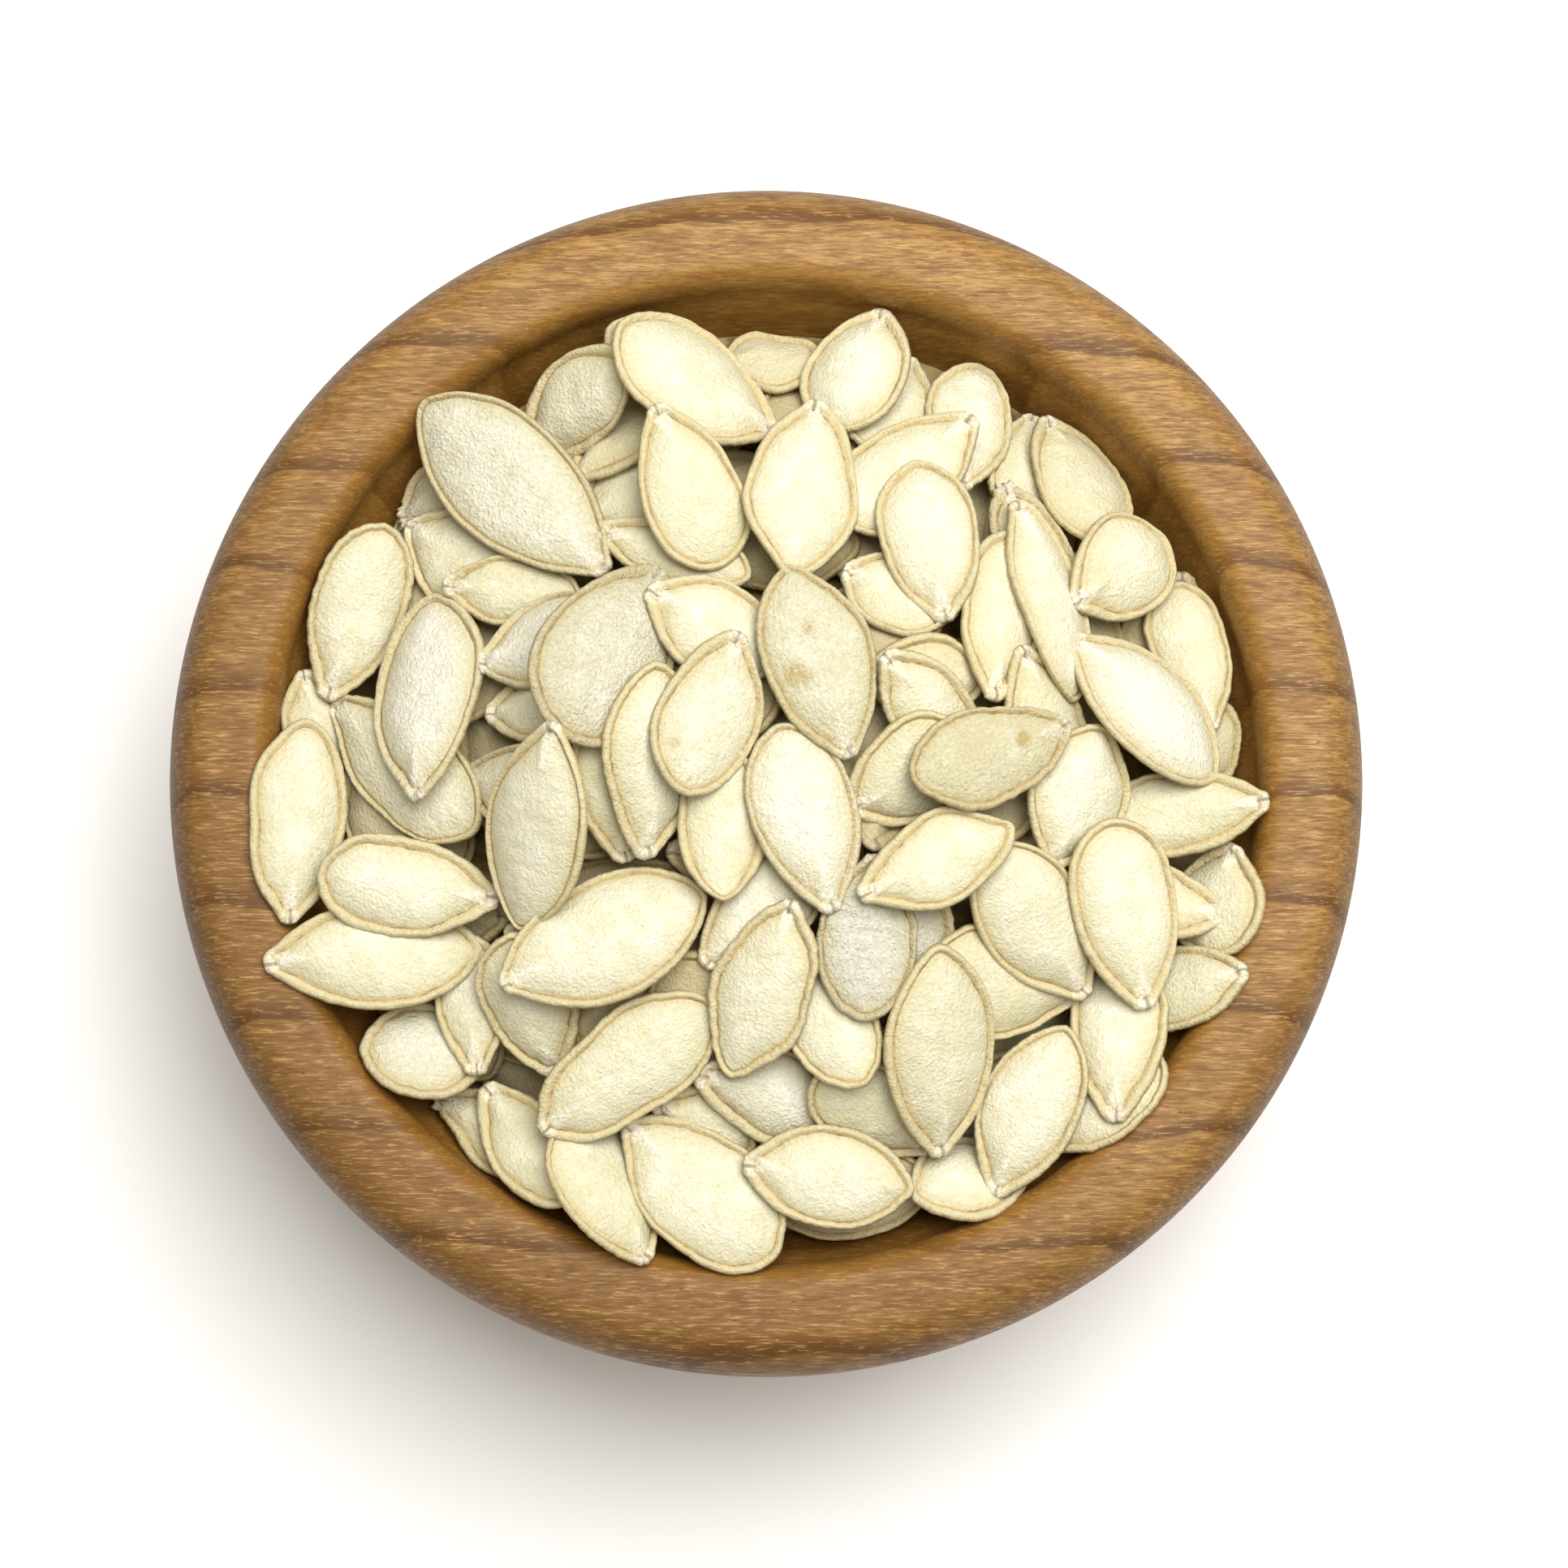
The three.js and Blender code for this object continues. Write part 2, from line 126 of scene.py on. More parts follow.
def quarter(level, upright, squareness, steps):
    """A rounded quarter that leaves one point level and arrives upright at the other."""
    turn = np.linspace(0, math.pi / 2, steps + 1)
    radius = level[0] + (upright[0] - level[0]) * np.sin(turn) ** (2 / squareness)
    height = upright[1] + (level[1] - upright[1]) * np.cos(turn).clip(0) ** (2 / squareness)
    return np.column_stack([radius, height])


def inside_height(radius):
    rise = CORNER_HEIGHT - FLOOR_HEIGHT
    return FLOOR_HEIGHT + rise * (radius / CORNER_RADIUS) ** WALL_POWER


def bowl_profile():
    top_outer = (TOP_OUTER_RADIUS, BOWL_HEIGHT)
    top_inner = (TOP_INNER_RADIUS, BOWL_HEIGHT)
    widest = (BOWL_RADIUS, WIDEST_HEIGHT)
    foot_edge = (FOOT_RADIUS, FOOT_CHAMFER)
    share = np.linspace(0, 1, INSIDE_STEPS + 1)[1:-1]
    inside = CORNER_RADIUS * (1 - share ** INSIDE_CROWDING)
    return np.vstack([
        [[FOOT_RADIUS - FOOT_CHAMFER, 0]],
        quarter(foot_edge, widest, WALL_SQUARENESS, WALL_STEPS),
        quarter(top_outer, widest, RIM_SQUARENESS, RIM_STEPS)[::-1][1:],
        quarter(top_inner, (CORNER_RADIUS, CORNER_HEIGHT), LIP_SQUARENESS, LIP_STEPS),
        np.column_stack([inside, inside_height(inside)]),
    ])


print("profile:", len(bowl_profile()), "points from the foot over the rim to the floor")


# %% Spin a profile and make a mesh
def mesh_piece(name, points, faces, material):
    """Makes a smooth object from points in millimetres."""
    mesh = bpy.data.meshes.new(name)
    mesh.from_pydata((np.asarray(points) * MM).tolist(), [], [list(map(int, f)) for f in faces])
    mesh.update()
    mesh.materials.append(material)
    mesh.polygons.foreach_set("use_smooth", [True] * len(mesh.polygons))
    piece = bpy.data.objects.new(name, mesh)
    bpy.context.scene.collection.objects.link(piece)
    return piece


def spin(profile, segments):
    """Points and faces of a profile spun round Z, closed by one point at either end."""
    turn = np.arange(segments) * 2 * math.pi / segments
    rings = [np.column_stack([r * np.cos(turn), r * np.sin(turn), np.full(segments, z)])
             for r, z in profile]
    count = len(profile)
    points = np.vstack(rings + [[[0, 0, profile[0][1]]], [[0, 0, profile[-1][1]]]])
    faces = []
    for i in range(segments):
        j = (i + 1) % segments
        for k in range(count - 1):
            a, b = k * segments, (k + 1) * segments
            faces.append((a + i, a + j, b + j, b + i))
        faces.append((count * segments, j, i))
        last = (count - 1) * segments
        faces.append((count * segments + 1, last + i, last + j))
    return points, faces


# %% [markdown]
# ## Oiled fruitwood
# The wood is a turned fruitwood such as pear, sanded fine and wiped with oil, so it is a warm
# mid brown with a low satin gloss. Its fibres all run one way, from side to side: on the rim's top and
# bottom they follow the ring, and at its sides they cross it as short strokes. That only comes out
# right if the pattern is a solid block that the bowl is cut from, so every texture here is three
# dimensional and reads the object's own coordinates. Several scales are laid over each other: growth
# rings about 12 mm apart, a wavy silk of tilted fibres, the fibres themselves, and short dark pores.
# One side of the bowl is painted darker, as painted shade on the side away from the light.

# %% A solid block of grain
FIBRE = (2.3, 0.24, 0.8)   # mm, size of one fibre stroke, coarser than real ones so that it shows
SILK = (5.0, 0.9, 1.8)     # mm, size of one patch of tilted fibres
FLECK = (1.4, 0.3, 0.6)    # mm, size of one dark pore fleck
CLOUD = 16.0               # mm, size of one faintly darker cloud
RING_SPACING = 12.2        # mm, between growth rings
RING_STRAY = 8.0           # mm, how far a ring strays from a true circle
RING_STRAY_LENGTH = 30.0   # mm, over which it strays
PITH = (0.0, 176.0, -10.0)  # mm, a point on the axis of the growth rings
PITH_TURN = 2.3            # degrees, of that axis from the X axis
SHADED_SIDE = (-0.62, -0.78, 0.0)  # the way to the side painted darker as painted shade
SIDE_SHADE_FROM, SIDE_SHADE_TO = -60.0, 75.0  # mm along that way, where it begins and is darkest


def grain_coordinates(material, stroke):
    """The object's place in units of one stroke, which lies along X."""
    place = add(material, "TexCoord").outputs["Object"]
    scale = [1 / (size * MM) for size in stroke]
    return add(material, "Mapping", {"Vector": place, "Scale": scale}).outputs[0]


def noise(material, vector, scale=1.0, detail=2.0, roughness=0.5, distortion=0.0):
    inputs = {"Vector": vector, "Scale": scale, "Detail": detail, "Roughness": roughness,
              "Distortion": distortion}
    return add(material, "TexNoise", inputs).outputs[0]


def ramp(material, value, low_in, high_in, low_out=0.0, high_out=1.0):
    """A soft step between two values."""
    inputs = {0: value, 1: low_in, 2: high_in, 3: low_out, 4: high_out}
    return add(material, "MapRange", inputs, interpolation_type="SMOOTHSTEP").outputs[0]


def maths(material, operation, first, second=0.0, third=0.0):
    node = add(material, "Math", {0: first, 1: second, 2: third}, operation=operation)
    return node.outputs[0]


def late_wood(wood, place):
    """The narrow dark line at the end of each year, on wavy cylinders round the pith."""
    from_pith = add(wood, "Mapping", {"Vector": place, "Location": [-p * MM for p in PITH],
                                      "Rotation": (0, 0, math.radians(PITH_TURN)),
                                      "Scale": (0.0, 1, 1)}).outputs[0]
    stray = noise(wood, place, scale=1 / (RING_STRAY_LENGTH * MM), detail=3.0)
    radius = add(wood, "VectorMath", {0: from_pith}, operation="LENGTH").outputs["Value"]
    strayed = maths(wood, "MULTIPLY_ADD", stray, RING_STRAY * MM, radius)
    ring = maths(wood, "FRACT", maths(wood, "DIVIDE", strayed, RING_SPACING * MM))
    return maths(wood, "MULTIPLY", ramp(wood, ring, 0.76, 0.96), ramp(wood, ring, 0.97, 1.0, 1.0, 0.0))


print("block:", round(2 * BOWL_RADIUS / RING_SPACING), "growth rings cross the bowl")

# %% Painted shade on the finished bowl
OUTSIDE_SHADE_RADII = (65.5, 69.5)      # mm from the axis, where painted shade darkens the outside
NEAR_SIDE_SHADE_START = (-62.0, -30.0)  # mm towards the far side, where the painted shade on the outside begins and where it is full
INSIDE_SHADE_RADII = (57.0, 61.0)       # mm from the axis, where the inside wall and its painted shade end


def wood_with_painted_shade(wood, place, colour):
    """Painted shade: the outside darker, less on the near side; the inside deeper and yellower."""
    flat = add(wood, "Mapping", {"Vector": place, "Scale": (1, 1, 0)}).outputs[0]
    from_axis = add(wood, "VectorMath", {0: flat}, operation="LENGTH").outputs["Value"]
    # painted shade where the rounded outside turns away from the light, and on the occluded inside wall
    outside = ramp(wood, from_axis, OUTSIDE_SHADE_RADII[0] * MM, OUTSIDE_SHADE_RADII[1] * MM, 0.0, 0.5)
    toward_far = add(wood, "SeparateXYZ", {0: place}).outputs["Y"]
    far_side_shade = ramp(wood, toward_far, NEAR_SIDE_SHADE_START[0] * MM, NEAR_SIDE_SHADE_START[1] * MM)
    colour = colour_mix(wood, maths(wood, "MULTIPLY", outside, far_side_shade), colour, linear("#553B1C"))
    inside = ramp(wood, from_axis, INSIDE_SHADE_RADII[0] * MM, INSIDE_SHADE_RADII[1] * MM, 0.45, 0.0)
    return colour_mix(wood, inside, colour, linear("#8C5F18"))


# %% Oiled turned fruitwood
def oiled_fruitwood():
    wood, shader = new_material("oiled_turned_fruitwood")
    place = add(wood, "TexCoord").outputs["Object"]
    silk = noise(wood, grain_coordinates(wood, SILK), detail=3.0, distortion=0.3)
    fibres = noise(wood, grain_coordinates(wood, FIBRE), detail=4.0, roughness=0.65, distortion=0.4)
    flecks = noise(wood, grain_coordinates(wood, FLECK), detail=2.0, roughness=0.6)
    cloud = noise(wood, place, scale=1 / (CLOUD * MM), detail=2.0)
    # painted shade: the side away from the light is darker
    toward_shaded_side = add(wood, "VectorMath", {0: place, 1: SHADED_SIDE}, operation="DOT_PRODUCT")
    side_shade = ramp(wood, toward_shaded_side.outputs["Value"], SIDE_SHADE_FROM * MM, SIDE_SHADE_TO * MM, 0.0, 0.6)
    late = maths(wood, "MULTIPLY", late_wood(wood, place), 0.85)

    colour = colour_mix(wood, ramp(wood, silk, 0.3, 0.7), linear("#845E2E"), linear("#A37C42"))
    colour = colour_mix(wood, ramp(wood, cloud, 0.35, 0.7, 0.0, 0.3), colour, linear("#80582D"))
    colour = colour_mix(wood, side_shade, colour, linear("#684722"))
    colour = colour_mix(wood, late, colour, linear("#583615"))
    colour = colour_mix(wood, ramp(wood, fibres, 0.36, 0.5, 0.6, 0.0), colour, linear("#63401A"))
    colour = colour_mix(wood, ramp(wood, fibres, 0.53, 0.66, 0.0, 0.5), colour, linear("#C79E63"))
    colour = colour_mix(wood, ramp(wood, flecks, 0.26, 0.34, 0.7, 0.0), colour, linear("#4E3012"))
    tree = wood.node_tree
    tree.links.new(wood_with_painted_shade(wood, place, colour), shader.inputs["Base Color"])

    gloss = ramp(wood, fibres, 0.3, 0.7, 0.58, 0.46)
    tree.links.new(gloss, shader.inputs["Roughness"])
    shader.inputs["IOR"].default_value = 1.45
    shader.inputs["Specular IOR Level"].default_value = 0.3
    bump = add(wood, "Bump", {"Height": fibres, "Distance": 0.05 * MM, "Strength": 0.6})
    tree.links.new(bump.outputs[0], shader.inputs["Normal"])
    return wood


# %% Turn the bowl
points, faces = spin(bowl_profile(), BOWL_SEGMENTS)
bowl = mesh_piece("turned_bowl", points, faces, oiled_fruitwood())
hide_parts("bowl")
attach(bowl, "root")
print("turned bowl:", len(bowl.data.polygons), "faces")


# %% [markdown]
# ## Where the seeds lie
# A seed poured into a bowl drops until it touches, then tips until its middle is as low as it can get.
# Guessing heights and tilts for a hundred seeds would leave them floating or cutting through each
# other, so the same rule is used here as in the frame. A height map holds whatever is already there.
# Each seed's outline is pressed down on it: of all the planes that stay above the map, the one with the
# lowest middle is where the seed comes to rest. The map is then raised by that seed.

# %% Places of the seeds that show, as in the frame
# [tip x, tip y, blunt end x, blunt end y, width, look], as the eye above the bowl sees them
DEEP_SEEDS = [
    (-54.8, 14.0, -52.1, -1.5, 7.7, ""),
    (-49.2, 2.3, -40.6, -13.0, 9.6, ""),
    (-43.6, 31.2, -32.0, 36.8, 9.6, "ragged"),
    (-42.5, 31.0, -29.1, 21.5, 12.5, ""),
    (-21.9, 30.1, -9.0, 38.7, 11.0, ""),
    (-22.9, 34.9, -10.9, 46.4, 9.1, ""),
    (-20.0, 30.1, -1.8, 24.1, 8.6, ""),
    (-33.0, 8.0, -19.5, 10.9, 9.6, ""),
    (-31.0, -17.8, -17.6, -20.7, 8.6, ""),
    (8.2, 48.7, -5.2, 50.2, 8.0, ""),
    (17.1, 51.2, 11.1, 38.7, 11.5, ""),
    (31.7, 44.0, 29.3, 31.0, 9.0, ""),
    (28.0, 35.6, 34.1, 19.5, 9.6, "ragged"),
    (8.7, 24.8, 22.6, 19.5, 10.5, ""),
    (11.1, 12.8, 26.0, 11.9, 10.5, ""),
    (51.4, -3.4, 51.2, 10.9, 9.6, ""),
    (-0.4, -50.3, 19.7, -46.4, 11.0, ""),
    (-13.3, -37.2, -1.3, -43.7, 9.6, ""),
    (-16.7, -9.4, -19.1, 8.0, 9.6, ""),
    (-38.9, -36.9, -24.7, -45.4, 8.8, "ragged"),
    (15.9, -9.2, 16.9, -25.5, 12.0, "white"),
    (36.5, -25.0, 17.8, -22.6, 13.4, ""),
    (-0.4, 42.5, -18.8, 53.6, 12.9, ""),
]
MIDDLE_SEEDS = [
    (-29.2, 39.4, -15.8, 49.3, 11.3, ""),
    (-38.2, 23.2, -21.5, 21.9, 9.1, ""),
    (-33.5, 13.6, -19.1, 19.1, 11.3, "white"),
    (-36.1, 1.8, -22.4, -3.4, 10.5, ""),
    (-51.9, 10.2, -33.9, -6.3, 12.1, "ragged"),
    (26.4, 9.0, 29.1, 30.3, 10.3, ""),
    (13.5, 14.9, 24.5, 2.3, 10.5, ""),
    (9.2, -3.4, 25.0, 5.7, 12.0, ""),
    (52.3, 5.7, 48.0, 24.0, 9.6, ""),
    (32.6, 43.7, 40.8, 27.2, 10.3, ""),
    (55.7, -7.3, 50.9, -20.7, 10.3, ""),
    (56.2, -22.3, 41.3, -26.0, 9.9, ""),
    (54.4, -15.9, 37.9, -12.1, 9.4, ""),
    (33.0, -43.2, 45.4, -30.2, 11.3, ""),
    (32.2, -44.2, 16.6, -48.7, 9.4, ""),
    (-8.2, -34.1, 9.2, -39.7, 11.1, "white"),
    (19.5, -42.9, 5.7, -34.1, 10.5, ""),
    (3.0, -19.7, 11.6, -35.8, 11.0, ""),
    (-7.6, -21.8, 5.4, -9.2, 10.5, ""),
    (-56.2, -17.1, -54.3, 7.8, 11.4, ""),
    (-32.0, -32.2, -47.8, -31.2, 11.3, "white"),
    (-34.1, -34.7, -35.3, -17.8, 8.6, ""),
    (22.6, 33.2, 24.8, 50.0, 10.6, ""),
    (14.3, 57.0, 7.5, 41.1, 12.0, ""),
    (-52.3, 9.8, -44.3, 30.3, 11.3, ""),
    (-59.4, -21.3, -33.2, -19.4, 12.9, ""),
    (-33.1, -35.9, -23.0, -49.9, 10.0, ""),
    (-24.8, -34.6, -30.3, -17.8, 11.5, ""),
    (1.1, 41.1, -18.0, 52.6, 13.4, ""),
    (24.7, 43.0, 8.4, 30.3, 12.6, ""),
    (30.1, 16.0, 35.1, -2.0, 10.1, ""),
    (30.1, 33.7, 36.8, 9.4, 8.4, ""),
    (59.4, -2.3, 38.4, -5.0, 10.5, ""),
    (40.8, -40.2, 42.2, -19.3, 11.3, ""),
    (-14.0, -56.7, -23.4, -39.4, 10.7, ""),
    (-16.9, -40.0, 1.5, -56.1, 14.2, ""),
    (-18.4, 24.3, -41.1, 45.4, 15.2, "leathery lens"),
    (12.7, -8.2, 11.2, -28.0, 11.9, "grey"),
]
TOP_SEEDS = [
    (-31.3, -13.8, -53.1, -10.9, 12.1, ""),
    (-27.2, -41.6, -6.3, -26.0, 12.5, ""),
    (-13.0, 44.5, -5.2, 25.1, 12.3, ""),
    (5.9, 45.7, 2.6, 23.2, 13.8, "lens"),
    (35.6, 20.3, 47.7, 29.7, 12.3, ""),
    (33.1, -10.4, 39.9, 6.8, 12.3, "lens"),
    (38.1, -25.2, 25.0, -7.3, 13.2, "lens"),
    (26.6, -49.0, 35.3, -28.5, 11.9, "lens"),
    (-2.9, -44.8, 17.6, -48.1, 12.2, "lens"),
    (21.0, 18.4, 17.6, 38.9, 12.2, ""),
    (20.8, -44.6, 20.2, -19.2, 13.2, "lens"),
    (-31.6, -24.3, -6.8, -12.8, 14.6, ""),
    (-12.4, 26.2, -24.3, 4.7, 15.5, "leathery"),
    (-14.1, 22.6, 1.5, 13.8, 12.3, ""),
    (-14.1, -8.9, -12.6, 14.0, 11.9, ""),
    (-5.4, 5.7, -4.9, -14.3, 10.8, ""),
    (10.5, -13.8, 29.3, -4.8, 10.7, "lens"),
    (44.8, -26.7, 40.0, -4.4, 13.1, ""),
    (36.0, 17.3, 53.6, 0.6, 12.1, "white"),
    (36.2, 7.2, 17.0, -0.5, 11.9, "yellow"),
    (-40.8, -2.7, -39.0, 22.7, 13.1, "white"),
    (-24.5, 6.6, -29.5, -17.1, 12.3, "lens"),
    (-3.1, 18.0, -10.2, -1.5, 12.3, "stained"),
    (7.9, -15.6, 1.5, 7.1, 12.8, "filmy"),
    (3.4, -13.8, -4.2, -34.9, 12.1, "lens"),
    (9.9, 2.5, 2.5, 26.2, 13.6, "stained lens"),
]
print(len(DEEP_SEEDS) + len(MIDDLE_SEEDS) + len(TOP_SEEDS), "seeds show")

# %% The ground that the seeds rest on
MOUND_CROWN = 62.0
MOUND_EDGE = 44.0
MOUND_EDGE_RADIUS = 55.0
CLEARANCE = 0.35         # air between seeds and wood
SINK = 0.45              # how far a resting seed is pressed into what carries it
MAP_HALF = 74            # the height map has one place for each millimetre

axis = np.arange(-MAP_HALF, MAP_HALF + 1.0)
map_x, map_y = np.meshgrid(axis, axis)
map_radius = np.hypot(map_x, map_y)


def mound_height(radius):
    rise = MOUND_CROWN - MOUND_EDGE
    return MOUND_EDGE + rise * (1 - (radius / MOUND_EDGE_RADIUS) ** 2)


def wood_height(radius):
    """Height of the wood seen from above."""
    inner = radius < TOP_INNER_RADIUS
    start = np.where(inner, TOP_INNER_RADIUS, np.minimum(radius, TOP_OUTER_RADIUS))
    base = np.where(inner, CORNER_HEIGHT, WIDEST_HEIGHT)
    power = np.where(inner, LIP_SQUARENESS, RIM_SQUARENESS)
    end = np.where(inner, CORNER_RADIUS, BOWL_RADIUS + 0.01)
    out = np.clip((radius - start) / (end - start), 0, 1)
    rim = base + (BOWL_HEIGHT - base) * (1 - out ** power) ** (1 / power)
    rim = np.where(radius >= BOWL_RADIUS, 0.0, rim)
    return np.where(radius <= CORNER_RADIUS, inside_height(radius), rim)


def bare_ground(drop):
    """The mound, lowered by drop, and the wood round it."""
    heap = np.where(map_radius < MOUND_EDGE_RADIUS, mound_height(map_radius) - drop, 0.0)
    return np.maximum(heap, wood_height(map_radius) + CLEARANCE + SINK)


print("height map:", map_x.shape, "places, highest", round(float(bare_ground(0.0).max()), 1), "mm")

# %% The body of one seed
THICKNESS_PER_WIDTH = 0.26
MARGIN_HALF_THICKNESS = 0.5
WIDEST_ALONG = 0.6       # share of the length from the tip
TIP_ROUNDNESS, TIP_SLIMNESS = 2.1, 0.75
BLUNT_ROUNDNESS, BLUNT_SLIMNESS = 2.6, 0.55


def half_width(along, widest=WIDEST_ALONG, point=0.0):
    """Half the width as a share of its largest, at a share of the length from the tip."""
    tip_side = np.clip((widest - along) / widest, 0, 1)
    blunt_side = np.clip((along - widest) / (1 - widest), 0, 1)
    tip_width = (1 - tip_side ** TIP_ROUNDNESS) ** (TIP_SLIMNESS + 0.1 * point)
    blunt_power = BLUNT_ROUNDNESS - 0.6 * point
    blunt_width = (1 - blunt_side ** blunt_power) ** (BLUNT_SLIMNESS + 0.25 * point)
    return np.where(along < widest, tip_width, blunt_width)


def half_thickness(along, across, width):
    dome = THICKNESS_PER_WIDTH * width / 2 - MARGIN_HALF_THICKNESS
    fall = (1 - across ** 2) * (1 - np.abs(2 * along - 1) ** 3)
    return MARGIN_HALF_THICKNESS + dome * np.maximum(fall, 0)


print("a seed 12 mm wide is", round(2 * float(half_thickness(0.5, 0.0, 12.0)), 1), "mm thick")

# %% From the eye's view to the plan
EYE_BACK, EYE_UP = 44.0, 386.0  # of the eye, from the middle of the widest ring
OUTLINE_MIDDLE = -0.96   # middle of the bowl's outline, up the view, from which y was read
SEED_LIFT = 4.0          # first guess at the height of a seed that shows above the mound


def under_eye(x, y, height):
    """Where the sight line through a place in the view is at a height above the widest ring."""
    distance = math.hypot(EYE_BACK, EYE_UP)
    up_view = y + OUTLINE_MIDDLE
    reach = (EYE_UP - height) / (EYE_UP - up_view * EYE_BACK / distance)
    return x * reach, reach * (EYE_BACK + up_view * EYE_UP / distance) - EYE_BACK


def plan_of(row, level):
    """Where a seed lies in plan, with its middle at a level."""
    tip_x, tip_y, butt_x, butt_y, width, look = row
    height = level - WIDEST_HEIGHT
    tip = np.array(under_eye(tip_x, tip_y, height))
    butt = np.array(under_eye(butt_x, butt_y, height))
    length = math.hypot(*(butt - tip))
    return {"middle": (tip + butt) / 2, "along": (butt - tip) / length, "length": length,
            "width": width * (1 - height / EYE_UP), "look": look}


lengths = [plan_of(row, MOUND_CROWN)["length"] for row in TOP_SEEDS]
print("seeds on top are", round(min(lengths), 1), "to", round(max(lengths), 1), "mm long")

# %% How one seed comes to rest
STEEPEST = math.tan(math.radians(38))
SEARCH_ROUNDS = 9        # each round tries slopes in a window round the best so far
SEARCH_TRIES = 13        # slopes each way
SEARCH_NARROWING = 2.5   # the next window is so much smaller

# the places along and across a seed where it feels what is under it
LONG, ACROSS = np.meshgrid(np.linspace(0, 1, 13), [-1, -0.5, 0, 0.5, 1])
LONG, ACROSS = LONG.ravel(), ACROSS.ravel()


def rest(plan, ground):
    """Finds the resting plane: height of the middle, and its two slopes."""
    ax, ay = plan["along"]
    forward = (LONG - 0.5) * plan["length"]
    side = ACROSS * half_width(LONG) * plan["width"] / 2
    dx, dy = ax * forward - ay * side, ay * forward + ax * side
    column = np.rint(plan["middle"][0] + dx + MAP_HALF).astype(int).clip(0, 2 * MAP_HALF)
    row = np.rint(plan["middle"][1] + dy + MAP_HALF).astype(int).clip(0, 2 * MAP_HALF)
    need = ground[row, column] + half_thickness(LONG, ACROSS, plan["width"])
    centre, window = np.zeros(2), STEEPEST
    for _ in range(SEARCH_ROUNDS):
        tries = np.linspace(-window, window, SEARCH_TRIES)
        sx = np.clip(centre[0] + tries, -STEEPEST, STEEPEST)[:, None]
        sy = np.clip(centre[1] + tries, -STEEPEST, STEEPEST)[None, :]
        height = (need - sx[..., None] * dx - sy[..., None] * dy).max(axis=-1)
        best = np.unravel_index(height.argmin(), height.shape)
        centre = np.array([sx[best[0], 0], sy[0, best[1]]])
        window /= SEARCH_NARROWING
    return {**plan, "slope": centre, "z": float(height.min()) - SINK}


def settle(row, ground):
    """Lays a seed down twice, because its true level is only known after the first time."""
    tip_x, tip_y, butt_x, butt_y = row[:4]
    middle = math.hypot((tip_x + butt_x) / 2, (tip_y + butt_y) / 2)
    first = rest(plan_of(row, mound_height(middle) + SEED_LIFT), ground)
    return rest(plan_of(row, first["z"]), ground)


def raise_ground(seed, ground):
    """Lifts the map where the seed covers it."""
    dx, dy = map_x - seed["middle"][0], map_y - seed["middle"][1]
    ax, ay = seed["along"]
    along = (dx * ax + dy * ay) / seed["length"] + 0.5
    half = half_width(along.clip(0, 1)) * seed["width"] / 2
    across = (dy * ax - dx * ay) / np.maximum(half, 1e-6)
    inside = (along > 0) & (along < 1) & (np.abs(across) < 1)
    face = half_thickness(along.clip(0, 1), across.clip(-1, 1), seed["width"])
    top = seed["z"] + seed["slope"][0] * dx + seed["slope"][1] * dy + face
    ground[inside] = np.maximum(ground[inside], top[inside])


alone = settle(TOP_SEEDS[0], bare_ground(0.0))
print("alone on the mound, the first seed would lie", round(alone["z"], 1), "mm up")


# %% [markdown]
# ## The seeds that fill the gaps
# Between the seeds that show, others are half seen in the shade. They lie at random, so a rule lays
# them: a sunflower spiral spreads them evenly, and a seeded draw turns and shifts each. They come to
# rest on a core a few millimetres lower, and one that would stick up through the layer above is left
# out.

# %% Lay the hidden layer, then the seeds that show
CORE_DROP = 6.5          # mm, of the core under the frame's mound
FILL_TRIES = 120
FILL_MOST = 47           # seeds; more would make the joined mesh too heavy
FILL_SPREAD = 54         # mm, radius of the sunflower spiral
FILL_REACH = 50          # mm, a middle farther out would touch the wall
FILL_PROUD = 0.4         # mm, that a hidden seed may stand above the frame's mound
FILL_SHIFT = 2           # mm, typical shift of a seed off the spiral
FILL_LENGTH = 20, 25     # mm
FILL_WIDTH = 10.5, 13.5  # mm
GOLDEN_TURN = math.radians(137.5)
draw = np.random.default_rng(29)


def fill_rows():
    rows = []
    for i in range(FILL_TRIES):
        radius = FILL_SPREAD * math.sqrt((i + 0.5) / FILL_TRIES)
        x = radius * math.cos(i * GOLDEN_TURN) + draw.normal(0, FILL_SHIFT)
        y = radius * math.sin(i * GOLDEN_TURN) + draw.normal(0, FILL_SHIFT)
        aim = draw.uniform(0, 2 * math.pi)
        half = draw.uniform(*FILL_LENGTH) / 2
        width = draw.uniform(*FILL_WIDTH)
        rows.append((x - half * math.cos(aim), y - half * math.sin(aim),
                     x + half * math.cos(aim), y + half * math.sin(aim), width, ""))
    return [rows[i] for i in draw.permutation(FILL_TRIES)]


def lay_fill(ground):
    laid = []
    for row in fill_rows():
        seed = settle(row, ground)
        out = math.hypot(*seed["middle"])
        top = seed["z"] + THICKNESS_PER_WIDTH * seed["width"] / 2
        if out > FILL_REACH or top > mound_height(out) + FILL_PROUD:
            continue
        raise_ground(seed, ground)
        laid.append(seed)
        if len(laid) == FILL_MOST:
            break
    return laid


def lay_rows(rows, ground):
    laid = []
    for row in rows:
        seed = settle(row, ground)
        raise_ground(seed, ground)
        laid.append(seed)
    return laid


ground = bare_ground(CORE_DROP)
fill_seeds = lay_fill(ground)
ground = np.maximum(ground, bare_ground(0.0))
deep_seeds = lay_rows(DEEP_SEEDS, ground)
middle_seeds = lay_rows(MIDDLE_SEEDS, ground)
top_seeds = lay_rows(TOP_SEEDS, ground)
print(len(fill_seeds), "seeds fill the gaps; the heap is", round(float(ground.max()), 1), "mm high")


